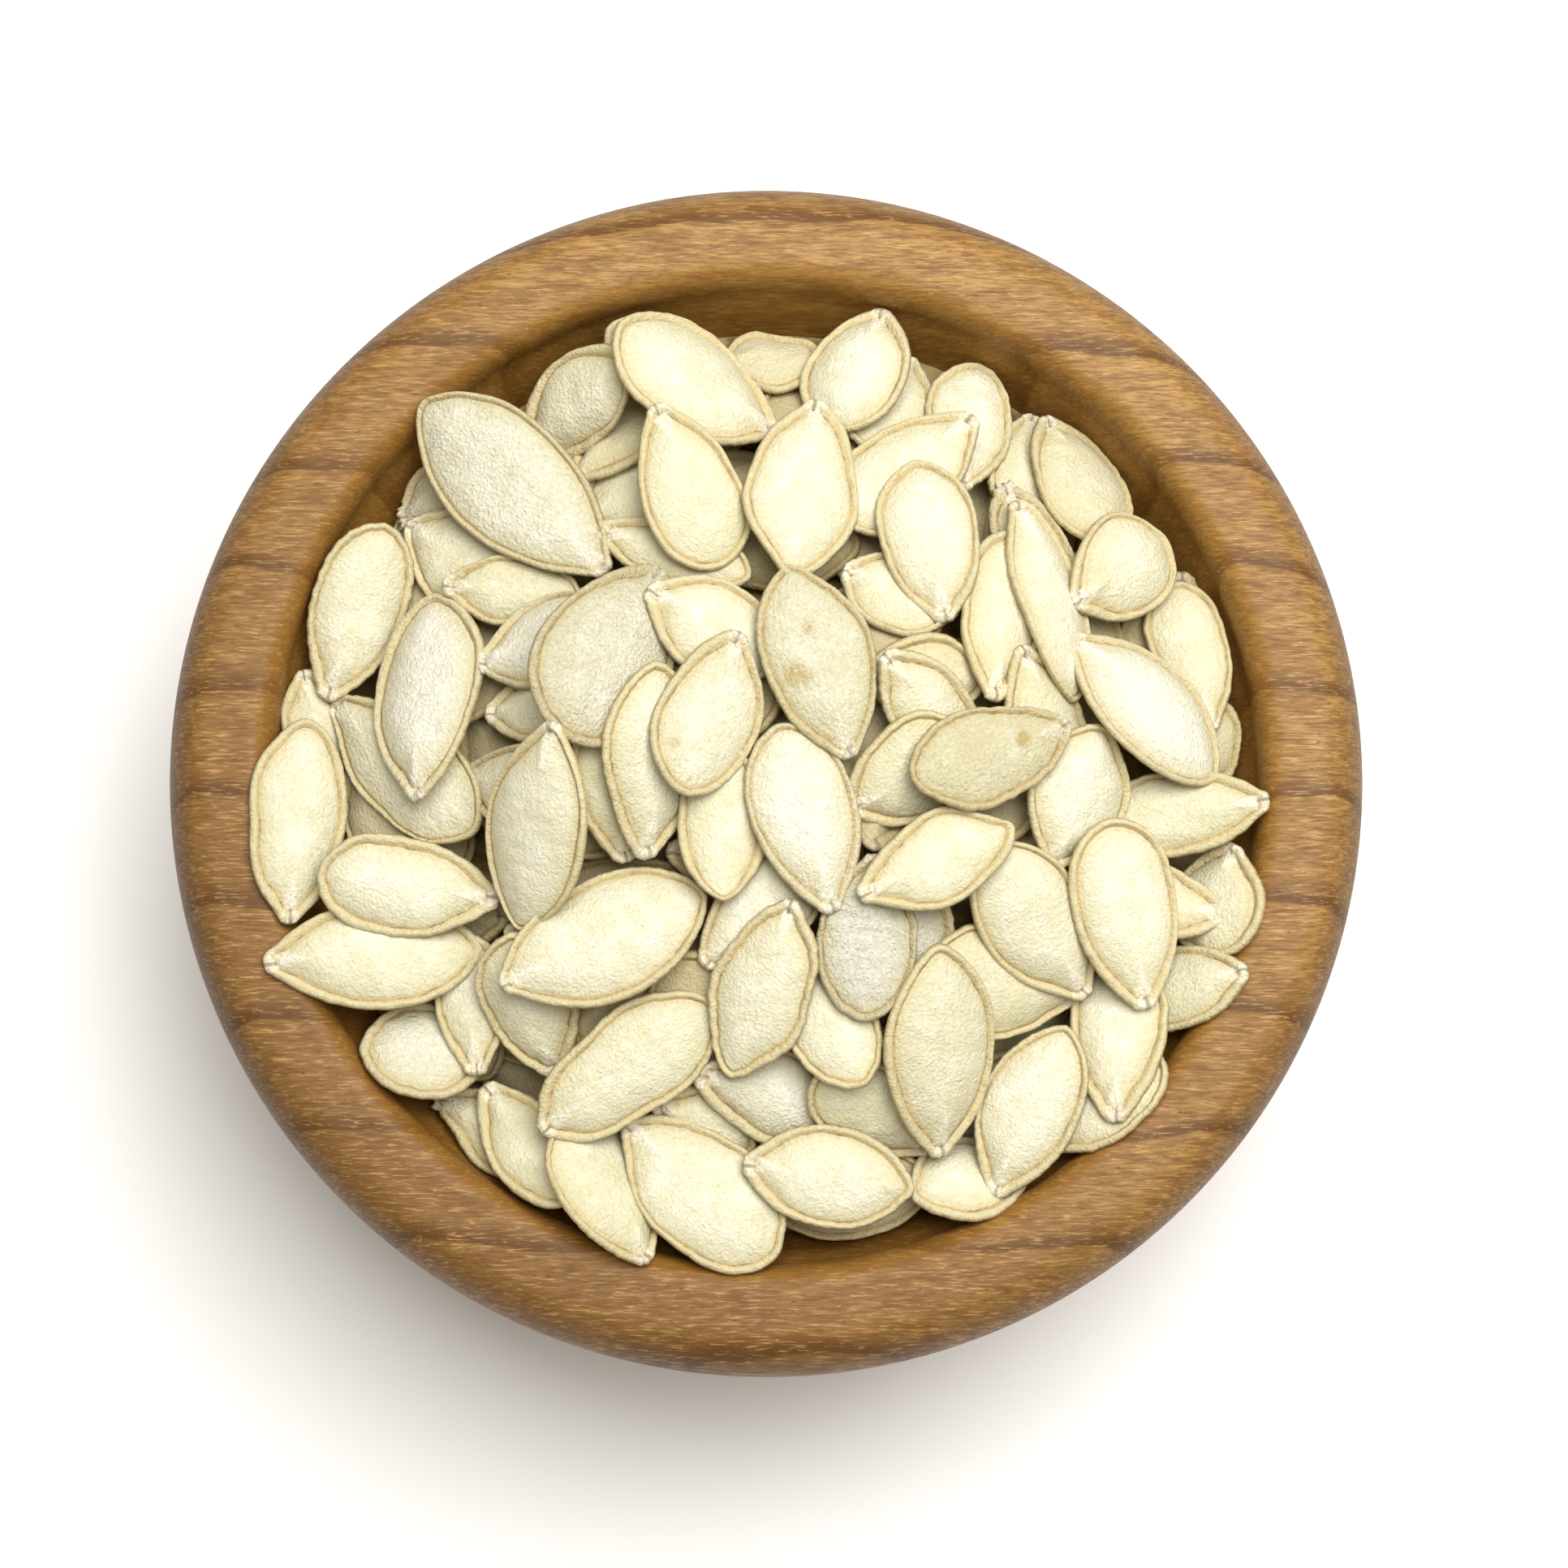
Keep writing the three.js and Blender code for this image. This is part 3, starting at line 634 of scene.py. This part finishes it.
# %% [markdown]
# ## One seed's shell
# A pumpkin seed is two shells joined at a raised bead that runs all round, with a thin groove inside
# it, then the domed face. The tip is blunt and ragged where it hung in the fruit. A grid across the
# seed would cut the bead into steps, so the mesh is made of rings that follow the edge: they are close
# together over the bead and groove, and wider towards a short spine in the middle. Sums of a few waves
# with drawn phases make every seed's edge, wrinkles and bend its own.

# %% Waves and the outline of one shell
EDGE_POINTS = 100
OUTLINE_STEPS = 400      # of the first outline, before its points are spread evenly
TIP_HALF_WIDTH = 1.15    # mm, of the blunt stub where the seed hung
STUB_RISE = 0.25         # mm, over which the stub reaches that width
TIP_REACH = 1.2          # mm, how far back from its end the tip is pale and ragged
LONG_SWAYS = (2, 3, 4, 5)        # waves round the edge
SHORT_SWAYS = (11, 17, 26, 37)


def waves(place, lengths, rng):
    """A smooth random relief: a few waves of the given lengths in drawn directions."""
    total = np.zeros(len(place))
    for length in lengths:
        aim, phase = rng.uniform(0, 2 * math.pi, 2)
        way = np.array([math.cos(aim), math.sin(aim)]) * 2 * math.pi / length
        total += np.sin(place @ way + phase)
    return total / math.sqrt(len(lengths))


def round_edge(turn, counts, size, rng):
    """A smooth random swing round the edge, of the given numbers of waves."""
    return sum(rng.normal(0, size) * np.sin(n * turn + rng.uniform(0, 7)) for n in counts)


def evenly(closed, count):
    """The same closed curve with its points at equal distances, and its length."""
    ring = np.vstack([closed, closed[:1]])
    run = np.concatenate([[0], np.cumsum(np.hypot(*np.diff(ring, axis=0).T))])
    want = np.linspace(0, run[-1], count + 1)[:-1]
    return np.column_stack([np.interp(want, run, ring[:, k]) for k in (0, 1)]), run[-1]


def outline_points(length, width, rng, point, ragged):
    """The edge of one shell, its distance along the edge, and how near each point is to the tip."""
    turn = np.arange(OUTLINE_STEPS) * 2 * math.pi / OUTLINE_STEPS
    along = (1 - np.cos(turn)) / 2
    widest = WIDEST_ALONG - 0.07 * point + rng.normal(0, 0.015)
    reach = half_width(along, widest, point) * width / 2
    stub = TIP_HALF_WIDTH * np.minimum(along * length / STUB_RISE, 1)
    reach = np.where(along < 0.5, (reach ** 4 + stub ** 4) ** 0.25, reach)
    reach = reach * np.where(turn < math.pi, 1.0, -1.0)
    edge, around = evenly(np.column_stack([(along - 0.5) * length, reach]), EDGE_POINTS)
    for _ in range(2):
        edge = edge / 2 + (np.roll(edge, 1, axis=0) + np.roll(edge, -1, axis=0)) / 4
    ahead = np.roll(edge, -1, axis=0) - np.roll(edge, 1, axis=0)
    out = np.column_stack([-ahead[:, 1], ahead[:, 0]]) / np.hypot(*ahead.T)[:, None]
    out = out * np.sign((out * edge).sum(axis=1))[:, None]
    at_tip = np.exp(-((edge[:, 0] / length + 0.5) * length / TIP_REACH) ** 2)
    turn = np.arange(EDGE_POINTS) * 2 * math.pi / EDGE_POINTS
    sway = round_edge(turn, LONG_SWAYS, 0.09, rng) + round_edge(turn, SHORT_SWAYS, 0.022, rng)
    torn = np.sin(8 * edge[:, 1] + rng.uniform(0, 7)) + np.exp(-((np.abs(edge[:, 1]) - 0.9) / 0.35) ** 2)
    edge = edge + out * (sway + ragged * at_tip * torn)[:, None]
    return edge, turn / (2 * math.pi) * around, at_tip


# %% The drawn sizes of one shell
from types import SimpleNamespace

MARGIN_WIDTH = 1.05      # mm, from the edge to the groove
SPINE = 0.55             # share of the length that the spine takes
NEAR_TIP = 5             # mm from the tip, over which the margin widens
LOOKS = {  # wrinkle, dome, dent, tone, white, ragged, pointed blunt end
    "": (0.25, 1.0, 0.0, 0.0, 0.0, 0.05, None),
    "lens": (0.25, 1.0, 0.0, 0.0, 0.0, 0.05, 0.9),
    "leathery": (0.9, 0.9, 0.2, 0.0, 0.0, 0.1, 0.1),
    "leathery lens": (0.8, 0.9, 0.3, 0.45, 0.0, 0.1, 0.8),
    "white": (0.5, 1.05, 0.1, 0.2, 0.7, 0.15, 0.6),
    "ragged": (0.5, 0.9, 0.1, 0.0, 0.2, 0.4, None),
    "grey": (1.0, 0.6, 0.5, 0.0, 0.9, 0.05, 0.3),
    "yellow": (0.5, 0.9, 0.1, -0.5, 0.0, 0.05, 0.4),
    "stained": (0.5, 0.9, 0.2, 0.0, 0.2, 0.05, 0.2),
    "stained lens": (0.8, 0.9, 0.2, -0.1, 0.1, 0.05, 0.9),
    "filmy": (0.5, 0.95, 0.1, 0.1, 0.3, 0.05, 0.4),
}


def shell_form(seed, rng):
    """One shell's own sizes, as it lies flat with its tip towards -X."""
    wrinkle, dome, dent, tone, white, ragged, point = LOOKS[seed["look"]]
    wrinkle = wrinkle * rng.uniform(0.6, 1.2)
    point = rng.uniform(0, 0.8) if point is None else point
    ax, ay = seed["along"]
    sx, sy = seed["slope"]
    length = seed["length"] * math.hypot(1, sx * ax + sy * ay)
    width = seed["width"] * math.hypot(1, sy * ax - sx * ay)
    edge, run, at_tip = outline_points(length, width, rng, point, ragged)
    turn = np.arange(EDGE_POINTS) * 2 * math.pi / EDGE_POINTS
    near_tip = np.exp(-((edge[:, 0] + length / 2) / NEAR_TIP) ** 2)
    margin = MARGIN_WIDTH * rng.uniform(0.8, 1.15) * (1 + 0.4 * near_tip)
    margin = margin * (1 + round_edge(turn, (1, 2, 3), 0.08, rng) + round_edge(turn, (5, 9, 14), 0.02, rng))
    inward = np.column_stack([edge[:, 0] * SPINE, np.zeros(EDGE_POINTS)]) - edge
    depth = np.hypot(*inward.T)
    dome = (THICKNESS_PER_WIDTH * width / 2 - MARGIN_HALF_THICKNESS) * dome * rng.uniform(1.0, 1.3)
    crimp = 1 + rng.uniform(0.0, 0.16) * np.sin(run * 5.3 + 3.5 * np.sin(run * 0.9) + rng.uniform(0, 7))
    crimp = crimp + 0.3 * np.sin(run * 1.3 + 2.5 * np.sin(run * 0.5) + rng.uniform(0, 7))
    return SimpleNamespace(length=length, edge=edge, run=run, at_tip=at_tip, inward=inward, depth=depth,
                           margin=np.minimum(margin, 0.4 * depth), dome=dome, dent=dent, crimp=crimp,
                           wrinkle=wrinkle, tone=tone, white=white, relief=rng.integers(1 << 30))


# %% The cross-section of one shell
EDGE_HEIGHT = 0.42       # mm, from the join to the top of the rounded edge
EDGE_ROUNDING = 0.32     # mm, in from the edge to where it is full
BEAD = (0.28, 0.45, 0.27)  # height in mm, then place and half width in margin widths
GROOVE = (-0.26, 0.95, 0.14)
INNER_BEAD = (0.07, 1.2, 0.13)
WRINKLES = (1.9, 2.6, 3.4, 4.5, 6.0)  # mm, lengths of the waves that make them
DENT = (4.5, 2.6)        # mm, half the length and width of a dent in the face


def ridge(inner, shape):
    """A raised or sunken line along the margin."""
    height, place, reach = shape
    return height * np.exp(-((inner - place) / reach) ** 2)


def relief(form, flat, inner):
    """What the upper side has on top of its dome: bead, groove, wrinkles and one dent."""
    lift = form.crimp * (ridge(inner, BEAD) + ridge(inner, INNER_BEAD)) + ridge(inner, GROOVE)
    again = np.random.default_rng(form.relief)
    on_face = np.clip(inner - 1, 0, 1)
    lift = lift + (0.04 + 0.09 * form.wrinkle) * on_face * waves(flat, WRINKLES, again)
    spot = again.normal(0, 2.0, 2)
    return lift - form.dent * on_face * np.exp(-(((flat - spot) / DENT) ** 2).sum(axis=1))


def ring(form, distance, side):
    """One ring at a distance in mm in from the edge (an array, one for each edge point)."""
    share = np.minimum(distance / form.depth, 1)
    flat = form.edge + form.inward * share[:, None]
    start = 1.1 * form.margin / form.depth
    rise = np.clip((share - start) / (1 - start), 0, 1)
    taper = 1 - 0.75 * np.abs(2 * flat[:, 0] / form.length) ** 2.5
    lift = EDGE_HEIGHT * np.sqrt(1 - (1 - np.minimum(distance / EDGE_ROUNDING, 1)) ** 2)
    lift = lift + form.dome * taper * (1 - (1 - rise) ** 2.2) ** 0.85
    inner = distance / form.margin
    if side > 0:
        lift = lift + relief(form, flat, inner)
    return np.column_stack([flat, side * lift]), inner


# %% [markdown]
# ## Stains
# A few seeds carry soft stains where the fruit's flesh dried on them. They could be painted on an
# image, but a stain is only a soft round spot at a known place, so a short list of spots says it all.
# Each point of a mesh works out how deep in a spot it lies, and the material reads that.

# %% Stains
STAINS = [  # x, y as the eye sees them, radius, strength
    (4.9, 18.4, 0.9, 0.7),
    (3.5, 12.9, 1.7, 0.8),
    (4.6, 12.2, 1.2, 0.4),
    (-10.9, 4.7, 1.0, 0.7),
    (30.3, 5.2, 0.9, 1.4),
    (24.0, 4.0, 3.0, 0.3),
    (1.5, 8.5, 2.5, 0.35),
]


def stains_at(points):
    """How strongly each point of a seed is stained."""
    share = (points[:, 2] - WIDEST_HEIGHT) / EYE_UP
    seen_x = points[:, 0] / (1 - share)
    seen_y = (points[:, 1] + EYE_BACK * share) / (1 - share) - OUTLINE_MIDDLE
    total = np.zeros(len(points))
    for x, y, radius, strength in STAINS:
        total += strength * np.exp(-((seen_x - x) ** 2 + (seen_y - y) ** 2) / radius ** 2)
    return total


print(len(STAINS), "stains")

# %% Put one shell together
MARGIN_RINGS = [0.0, 0.12, 0.3, 0.5, 0.68, 0.84, 0.96, 1.08, 1.22, 1.4]  # in margin widths
FACE_RINGS = [0.1, 0.22, 0.36, 0.52, 0.7, 0.86, 1.0]  # shares of the way to the spine
UNDER_RINGS = [0.4, 1.4]
PATTERN_STEP = 7.31      # mm between the patterns of two seeds, so that no two look alike


def ring_faces(count, over):
    """Quads between neighbouring rings; the rings from over on are the underside."""
    step = np.arange(EDGE_POINTS)
    after = (step + 1) % EDGE_POINTS
    faces = []
    for outer in range(count - 1):
        start = 0 if outer + 1 == over else outer
        a, b = start * EDGE_POINTS, (outer + 1) * EDGE_POINTS
        corners = [b + step, b + after, a + after, a + step]
        faces.append(np.column_stack(corners if outer + 1 < over else corners[::-1]))
    return np.vstack(faces)


def lay(local, seed):
    """Turns a shell to its seed's direction and slope, and moves it to its place."""
    ax, ay = seed["along"]
    sx, sy = seed["slope"]
    uphill = sx * ax + sy * ay
    forward = np.array([ax, ay, uphill]) / math.hypot(1, uphill)
    face = np.array([-sx, -sy, 1]) / math.sqrt(1 + sx * sx + sy * sy)
    pose = np.stack([forward, np.cross(face, forward), face])
    return local @ pose + [*seed["middle"], seed["z"]]


def shell(seed, number, rng, depth_shade):
    """Points in millimetres, faces, and what the material reads at each point."""
    form = shell_form(seed, rng)

    def face_ring(share, side):
        start = MARGIN_RINGS[-1] * form.margin
        return ring(form, start + (form.depth - start) * share, side)

    rings = [ring(form, m * form.margin, 1) for m in MARGIN_RINGS] + [face_ring(f, 1) for f in FACE_RINGS]
    over = len(rings)
    rings += [ring(form, m * form.margin, -1) for m in UNDER_RINGS]
    rings += [face_ring(f, -1) for f in FACE_RINGS[2::2]]
    local = np.vstack([points for points, _ in rings])
    inner = np.concatenate([i for _, i in rings])
    bend = rng.normal(0, 0.5)
    twist = rng.normal(0, 0.035)
    local[:, 2] += bend * (2 * local[:, 0] / form.length) ** 2 + twist * local[:, 0] * local[:, 1] / 4
    points = lay(local, seed)

    count, same = len(rings), np.ones(len(local))
    # the depth part of the tone is painted shade for seeds lower in the heap
    tone = rng.normal(0, 0.25) + form.tone - depth_shade
    read = {
        "place": np.column_stack([local[:, :2], number * PATTERN_STEP * same]),
        "edge": np.column_stack([np.tile(form.run, count), inner, np.tile(form.at_tip, count)]),
        "look": np.column_stack([tone * same, form.white * same, form.wrinkle * same]),
        "marks": np.column_stack([stains_at(points), rng.uniform() * same,
                                  float(seed["look"] == "filmy") * same]),
    }
    return points, ring_faces(count, over), read


# %% [markdown]
# ## Dry roasted seed shell
# The shell is dry cellulose, cream white, with a papery skin that dried onto it: matt in the middle,
# with a faint satin shine. The groove is a thin broken brown line, the margin round it a little
# tanner than the face, and the tip is the palest. The pattern has to follow each seed, not the room, so
# the material reads the place on the shell that the mesh wrote down for each point: along and across
# the seed, and in from its edge.

# %% What the shell's material reads
PATCHES_PER_MM = 0.3     # mottled patches, about 3 mm across
SKIN_PER_MM = 1.3        # creases of the papery skin, 0.8 mm
LEATHER_PER_MM = 2.6     # pits where the skin shrank, 0.4 mm
FLAKES_PER_MM = 2.2      # flakes of dried film, 0.5 mm
FRECKLES_PER_MM = 0.09   # pinhead freckles, about 11 mm apart


def attribute(material, name):
    node = add(material, "Attribute", attribute_name=name)
    split = add(material, "SeparateXYZ", {0: node.outputs["Vector"]})
    return node.outputs["Vector"], split.outputs


def shell_reader(cream):
    """What the mesh wrote down for each point, and the patterns that follow each seed."""
    at = SimpleNamespace()
    at.place, _ = attribute(cream, "place")
    _, (at.run, at.inward, at.tip) = attribute(cream, "edge")
    _, (at.tone, at.white, at.wrinkle) = attribute(cream, "look")
    _, (at.stain, at.freckled, at.filmy) = attribute(cream, "marks")
    at.mottled = noise(cream, at.place, scale=PATCHES_PER_MM, detail=3.0, roughness=0.6)
    at.papery = noise(cream, at.place, scale=SKIN_PER_MM, detail=6.0, roughness=0.7, distortion=0.3)
    at.leather = noise(cream, at.place, scale=LEATHER_PER_MM, detail=3.0, roughness=0.6, distortion=0.6)
    at.flakes = noise(cream, at.place, scale=FLAKES_PER_MM, detail=3.0, roughness=0.6)
    along_edge = add(cream, "CombineXYZ", {0: maths(cream, "MULTIPLY", at.run, 0.55),
                                           1: maths(cream, "MULTIPLY", at.inward, 1.6), 2: at.tone})
    at.streaks = noise(cream, along_edge.outputs[0], scale=1.0, detail=4.0, roughness=0.6)
    at.on_margin = ramp(cream, at.inward, 0.95, 1.25, 1.0, 0.0)
    return at


# %% Colour of the face
def face_colour(cream, at):
    """Cream, whiter or yellower by seed, with painted shade deepening it towards the margin."""
    shade = maths(cream, "MULTIPLY_ADD", at.tone, 0.3, at.mottled)
    colour = colour_mix(cream, ramp(cream, shade, 0.1, 0.9), linear("#DCD6B1"), linear("#F4F0DD"))
    colour = colour_mix(cream, maths(cream, "MULTIPLY", at.white, 0.7), colour, linear("#F3F1E8"))
    # painted shade: the domed face darker towards the margin, where it turns from the light
    colour = colour_mix(cream, ramp(cream, at.inward, 1.0, 4.2, 0.6, 0.0), colour, linear("#D2CAA2"))
    colour = colour_mix(cream, ramp(cream, at.inward, 1.0, 1.8, 0.4, 0.0), colour, linear("#C0AE78"))
    # painted shade in the low creases and pits of the skin's relief
    colour = colour_mix(cream, ramp(cream, at.papery, 0.35, 0.65, 0.3, 0.0), colour, linear("#CBC194"))
    pits = maths(cream, "MULTIPLY", ramp(cream, at.leather, 0.3, 0.48, 0.4, 0.0), at.wrinkle)
    return colour_mix(cream, pits, colour, linear("#C9BB8A"))


# %% Colour of the margin and the tip
def margin_colour(cream, at, colour):
    """Cream outside, tan inside, streaked along, with a thin broken brown line at its inner side."""
    tan = maths(cream, "MULTIPLY", at.on_margin, ramp(cream, at.inward, 0.35, 0.9, 0.15, 0.8))
    tan = maths(cream, "MULTIPLY", tan, ramp(cream, at.streaks, 0.35, 0.65, 0.2, 1.0))
    colour = colour_mix(cream, tan, colour, linear("#D2BB84"))
    outer_side = ramp(cream, at.inward, 0.82, 0.94)
    inner_side = ramp(cream, at.inward, 0.97, 1.1, 1.0, 0.0)
    groove = maths(cream, "MULTIPLY", outer_side, inner_side)
    groove = maths(cream, "MULTIPLY", groove, ramp(cream, at.streaks, 0.3, 0.6, 0.95, 0.35))
    colour = colour_mix(cream, groove, colour, linear("#8C6B38"))
    # the outermost edge tinted tan: partly the bead's own tan side, partly painted shade where the edge
    # turns down
    colour = colour_mix(cream, ramp(cream, at.inward, 0.0, 0.2, 0.6, 0.0), colour, linear("#A98D56"))
    pale_tip = maths(cream, "MULTIPLY", ramp(cream, at.tip, 0.4, 1.0),
                     ramp(cream, at.flakes, 0.4, 0.6, 0.1, 0.7))
    return colour_mix(cream, pale_tip, colour, linear("#F4EFDF"))


# %% Marks
def marked_colour(cream, at, film, colour):
    """Painted shade makes seeds deep in the heap duller; then soft stains, pinhead freckles and dried film.
    """
    # mostly painted shade: low tones, from deeper seeds, go duller and browner
    colour = colour_mix(cream, ramp(cream, at.tone, -1.9, -0.2, 0.55, 0.0), colour, linear("#A48F5C"))
    blotch = maths(cream, "MULTIPLY", at.stain, ramp(cream, at.papery, 0.35, 0.6, 0.2, 1.0))
    colour = colour_mix(cream, ramp(cream, blotch, 0.05, 0.7, 0.0, 0.7), colour, linear("#B59A4C"))
    cells = add(cream, "TexVoronoi", {"Vector": at.place, "Scale": FRECKLES_PER_MM}).outputs["Distance"]
    freckle = maths(cream, "MULTIPLY", ramp(cream, cells, 0.008, 0.016, 1.0, 0.0),
                    ramp(cream, at.freckled, 0.4, 0.5))
    colour = colour_mix(cream, maths(cream, "MULTIPLY", freckle, 0.8), colour, linear("#6E4A1E"))
    return colour_mix(cream, maths(cream, "MULTIPLY", film, 0.25), colour, linear("#F2F2EC"))


# %% Roasted pumpkin seed shell
def roasted_shell():
    cream, shader = new_material("roasted_pumpkin_seed_shell")
    tree = cream.node_tree
    at = shell_reader(cream)
    film = maths(cream, "MULTIPLY", at.filmy, ramp(cream, at.flakes, 0.54, 0.6))
    colour = margin_colour(cream, at, face_colour(cream, at))
    tree.links.new(marked_colour(cream, at, film, colour), shader.inputs["Base Color"])

    shine = ramp(cream, at.papery, 0.3, 0.7, 0.5, 0.3)
    tree.links.new(maths(cream, "MULTIPLY_ADD", film, -0.2, shine), shader.inputs["Roughness"])
    shader.inputs["IOR"].default_value = 1.45
    shader.inputs["Subsurface Weight"].default_value = 0.1
    shader.inputs["Subsurface Radius"].default_value = (1.0, 0.75, 0.45)
    shader.inputs["Subsurface Scale"].default_value = 0.8 * MM
    rough_skin = maths(cream, "MULTIPLY", maths(cream, "ADD", at.papery, at.leather),
                       maths(cream, "MULTIPLY_ADD", at.wrinkle, 0.8, 0.3))
    streaked = maths(cream, "MULTIPLY", at.streaks, at.on_margin)
    rough_skin = maths(cream, "MULTIPLY_ADD", streaked, 0.5, rough_skin)
    bump = add(cream, "Bump", {"Height": rough_skin, "Distance": 0.5 * MM, "Strength": 1.0})
    tree.links.new(bump.outputs[0], shader.inputs["Normal"])
    return cream


shell_finish = roasted_shell()
print("seed shell finish:", len(shell_finish.node_tree.nodes), "nodes")


# %% Join the shells of each kind
def seed_piece(name, seeds, rng, depth_shade):
    """Joins the shells of one kind into one mesh. Deeper seeds get painted shade, a little duller."""
    points, faces, reads, start = [], [], [], 0
    for number, seed in enumerate(seeds):
        p, f, read = shell(seed, number, rng, depth_shade)
        points.append(p)
        faces.append(f + start)
        reads.append(read)
        start += len(p)
    piece = mesh_piece(name, np.vstack(points), np.vstack(faces), shell_finish)
    for key in reads[0]:
        values = np.vstack([read[key] for read in reads]).astype(np.float32)
        layer = piece.data.attributes.new(key, "FLOAT_VECTOR", "POINT")
        layer.data.foreach_set("vector", values.ravel())
    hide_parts("seed_heap")
    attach(piece, "root")
    print(name + ":", len(seeds), "seeds,", 2 * len(piece.data.polygons), "triangles")


# the last number is painted shade for seeds lower in the heap
seed_piece("seeds_on_top", top_seeds, draw, 0.0)
seed_piece("seeds_between", middle_seeds, draw, 0.15)
seed_piece("seeds_below", deep_seeds, draw, 0.5)
seed_piece("seeds_filling", fill_seeds, draw, 1.9)

# %% [markdown]
# ## The core
# Under the loose seeds lies a plain domed core that stands for the rest of the heap. Only its darkest
# glimpses show, so it gets the shell's colour darkened with painted shade, in a rougher finish.

# %% The core under the seeds
CORE_RADIUS = MOUND_EDGE_RADIUS - 1.5
CORE_STEPS = 20
CORE_SEGMENTS = 96
SPECKLE_SIZE = 3.0       # mm


def shaded_shell():
    dull, shader = new_material("shaded_seed_shell")
    place = add(dull, "TexCoord").outputs["Object"]
    speckle = noise(dull, place, scale=1 / (SPECKLE_SIZE * MM), detail=3.0)
    # painted shade: the shell's cream darkened to shadowed browns
    colour = colour_mix(dull, ramp(dull, speckle, 0.35, 0.65), linear("#6E5930"), linear("#A08B5C"))
    dull.node_tree.links.new(colour, shader.inputs["Base Color"])
    shader.inputs["Roughness"].default_value = 0.8
    return dull


def core_profile():
    outward = np.linspace(0, 1, CORE_STEPS)[1:] * CORE_RADIUS
    inward = outward[::-1]
    low_side = np.column_stack([outward, inside_height(outward) + CLEARANCE])
    top_side = np.column_stack([inward, np.maximum(mound_height(inward) - CORE_DROP,
                                                   inside_height(inward) + 1)])
    return np.vstack([low_side, top_side])


points, faces = spin(core_profile(), CORE_SEGMENTS)
core = mesh_piece("heap_core", points, faces, shaded_shell())
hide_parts("seed_heap")
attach(core, "root")
print("core:", len(faces), "faces")

# %% [markdown]
# ## Floor, light and camera
# The bowl stands on a plain pale floor. A large soft light above and a little to the right gives the
# bright, nearly shadowless look, and a pale room fills the shade. The camera looks almost straight
# down, leaning back a few degrees, so a little more of the far inner wall shows than of the near one.

# %% The stage
ROOM_BRIGHTNESS = 0.42


def floor_paint():
    paint, shader = new_material("matt_white_floor")
    shader.inputs["Base Color"].default_value = linear("#FBFAF8")
    shader.inputs["Roughness"].default_value = 0.7
    return paint


bpy.ops.mesh.primitive_plane_add(size=6.0, location=(0, 0, 0))
floor = bpy.context.object
floor.name = "floor"
floor.data.materials.append(floor_paint())

world = bpy.data.worlds.new("pale_room")
world.use_nodes = True
world.node_tree.nodes["Background"].inputs["Color"].default_value = linear("#FFFAF0")
world.node_tree.nodes["Background"].inputs["Strength"].default_value = ROOM_BRIGHTNESS
bpy.context.scene.world = world

# %% The softbox
from mathutils import Vector

SOFTBOX_PLACE = (0.13, 0.18, 0.64)  # metres
SOFTBOX_SIZE = 0.5       # metres
SOFTBOX_WATTS = 6.2


def aim_at(thing, target):
    way = Vector(target) - thing.location
    thing.rotation_euler = way.to_track_quat("-Z", "Y").to_euler()


light_data = bpy.data.lights.new("softbox", "AREA")
light_data.size = SOFTBOX_SIZE
light_data.energy = SOFTBOX_WATTS
softbox = bpy.data.objects.new("softbox", light_data)
softbox.location = SOFTBOX_PLACE
bpy.context.scene.collection.objects.link(softbox)
aim_at(softbox, (0, 0, 0.05))

# %% The camera
PHOTO_PIXELS = 1932
PIXELS_PER_MM = 10.457   # at the bowl's widest ring
RING_IN_PHOTO = (944, 954)  # pixel of the middle of the widest ring
SENSOR = 36.0            # mm

camera_data = bpy.data.cameras.new("camera")
camera = bpy.data.objects.new("camera", camera_data)
bpy.context.scene.collection.objects.link(camera)
bpy.context.scene.camera = camera
camera.location = (0, -EYE_BACK * MM, (WIDEST_HEIGHT + EYE_UP) * MM)
aim_at(camera, (0, 0, WIDEST_HEIGHT * MM))
camera_data.shift_x = 0.5 - RING_IN_PHOTO[0] / PHOTO_PIXELS
camera_data.shift_y = RING_IN_PHOTO[1] / PHOTO_PIXELS - 0.5
camera_data.sensor_width = SENSOR
camera_data.lens = SENSOR * PIXELS_PER_MM * math.hypot(EYE_BACK, EYE_UP) / PHOTO_PIXELS
camera_data.clip_start = 0.01
bpy.context.scene.view_settings.view_transform = "Standard"
print("camera lens:", round(camera_data.lens, 1), "mm")

# %% Finish
bpy.context.view_layer.update()
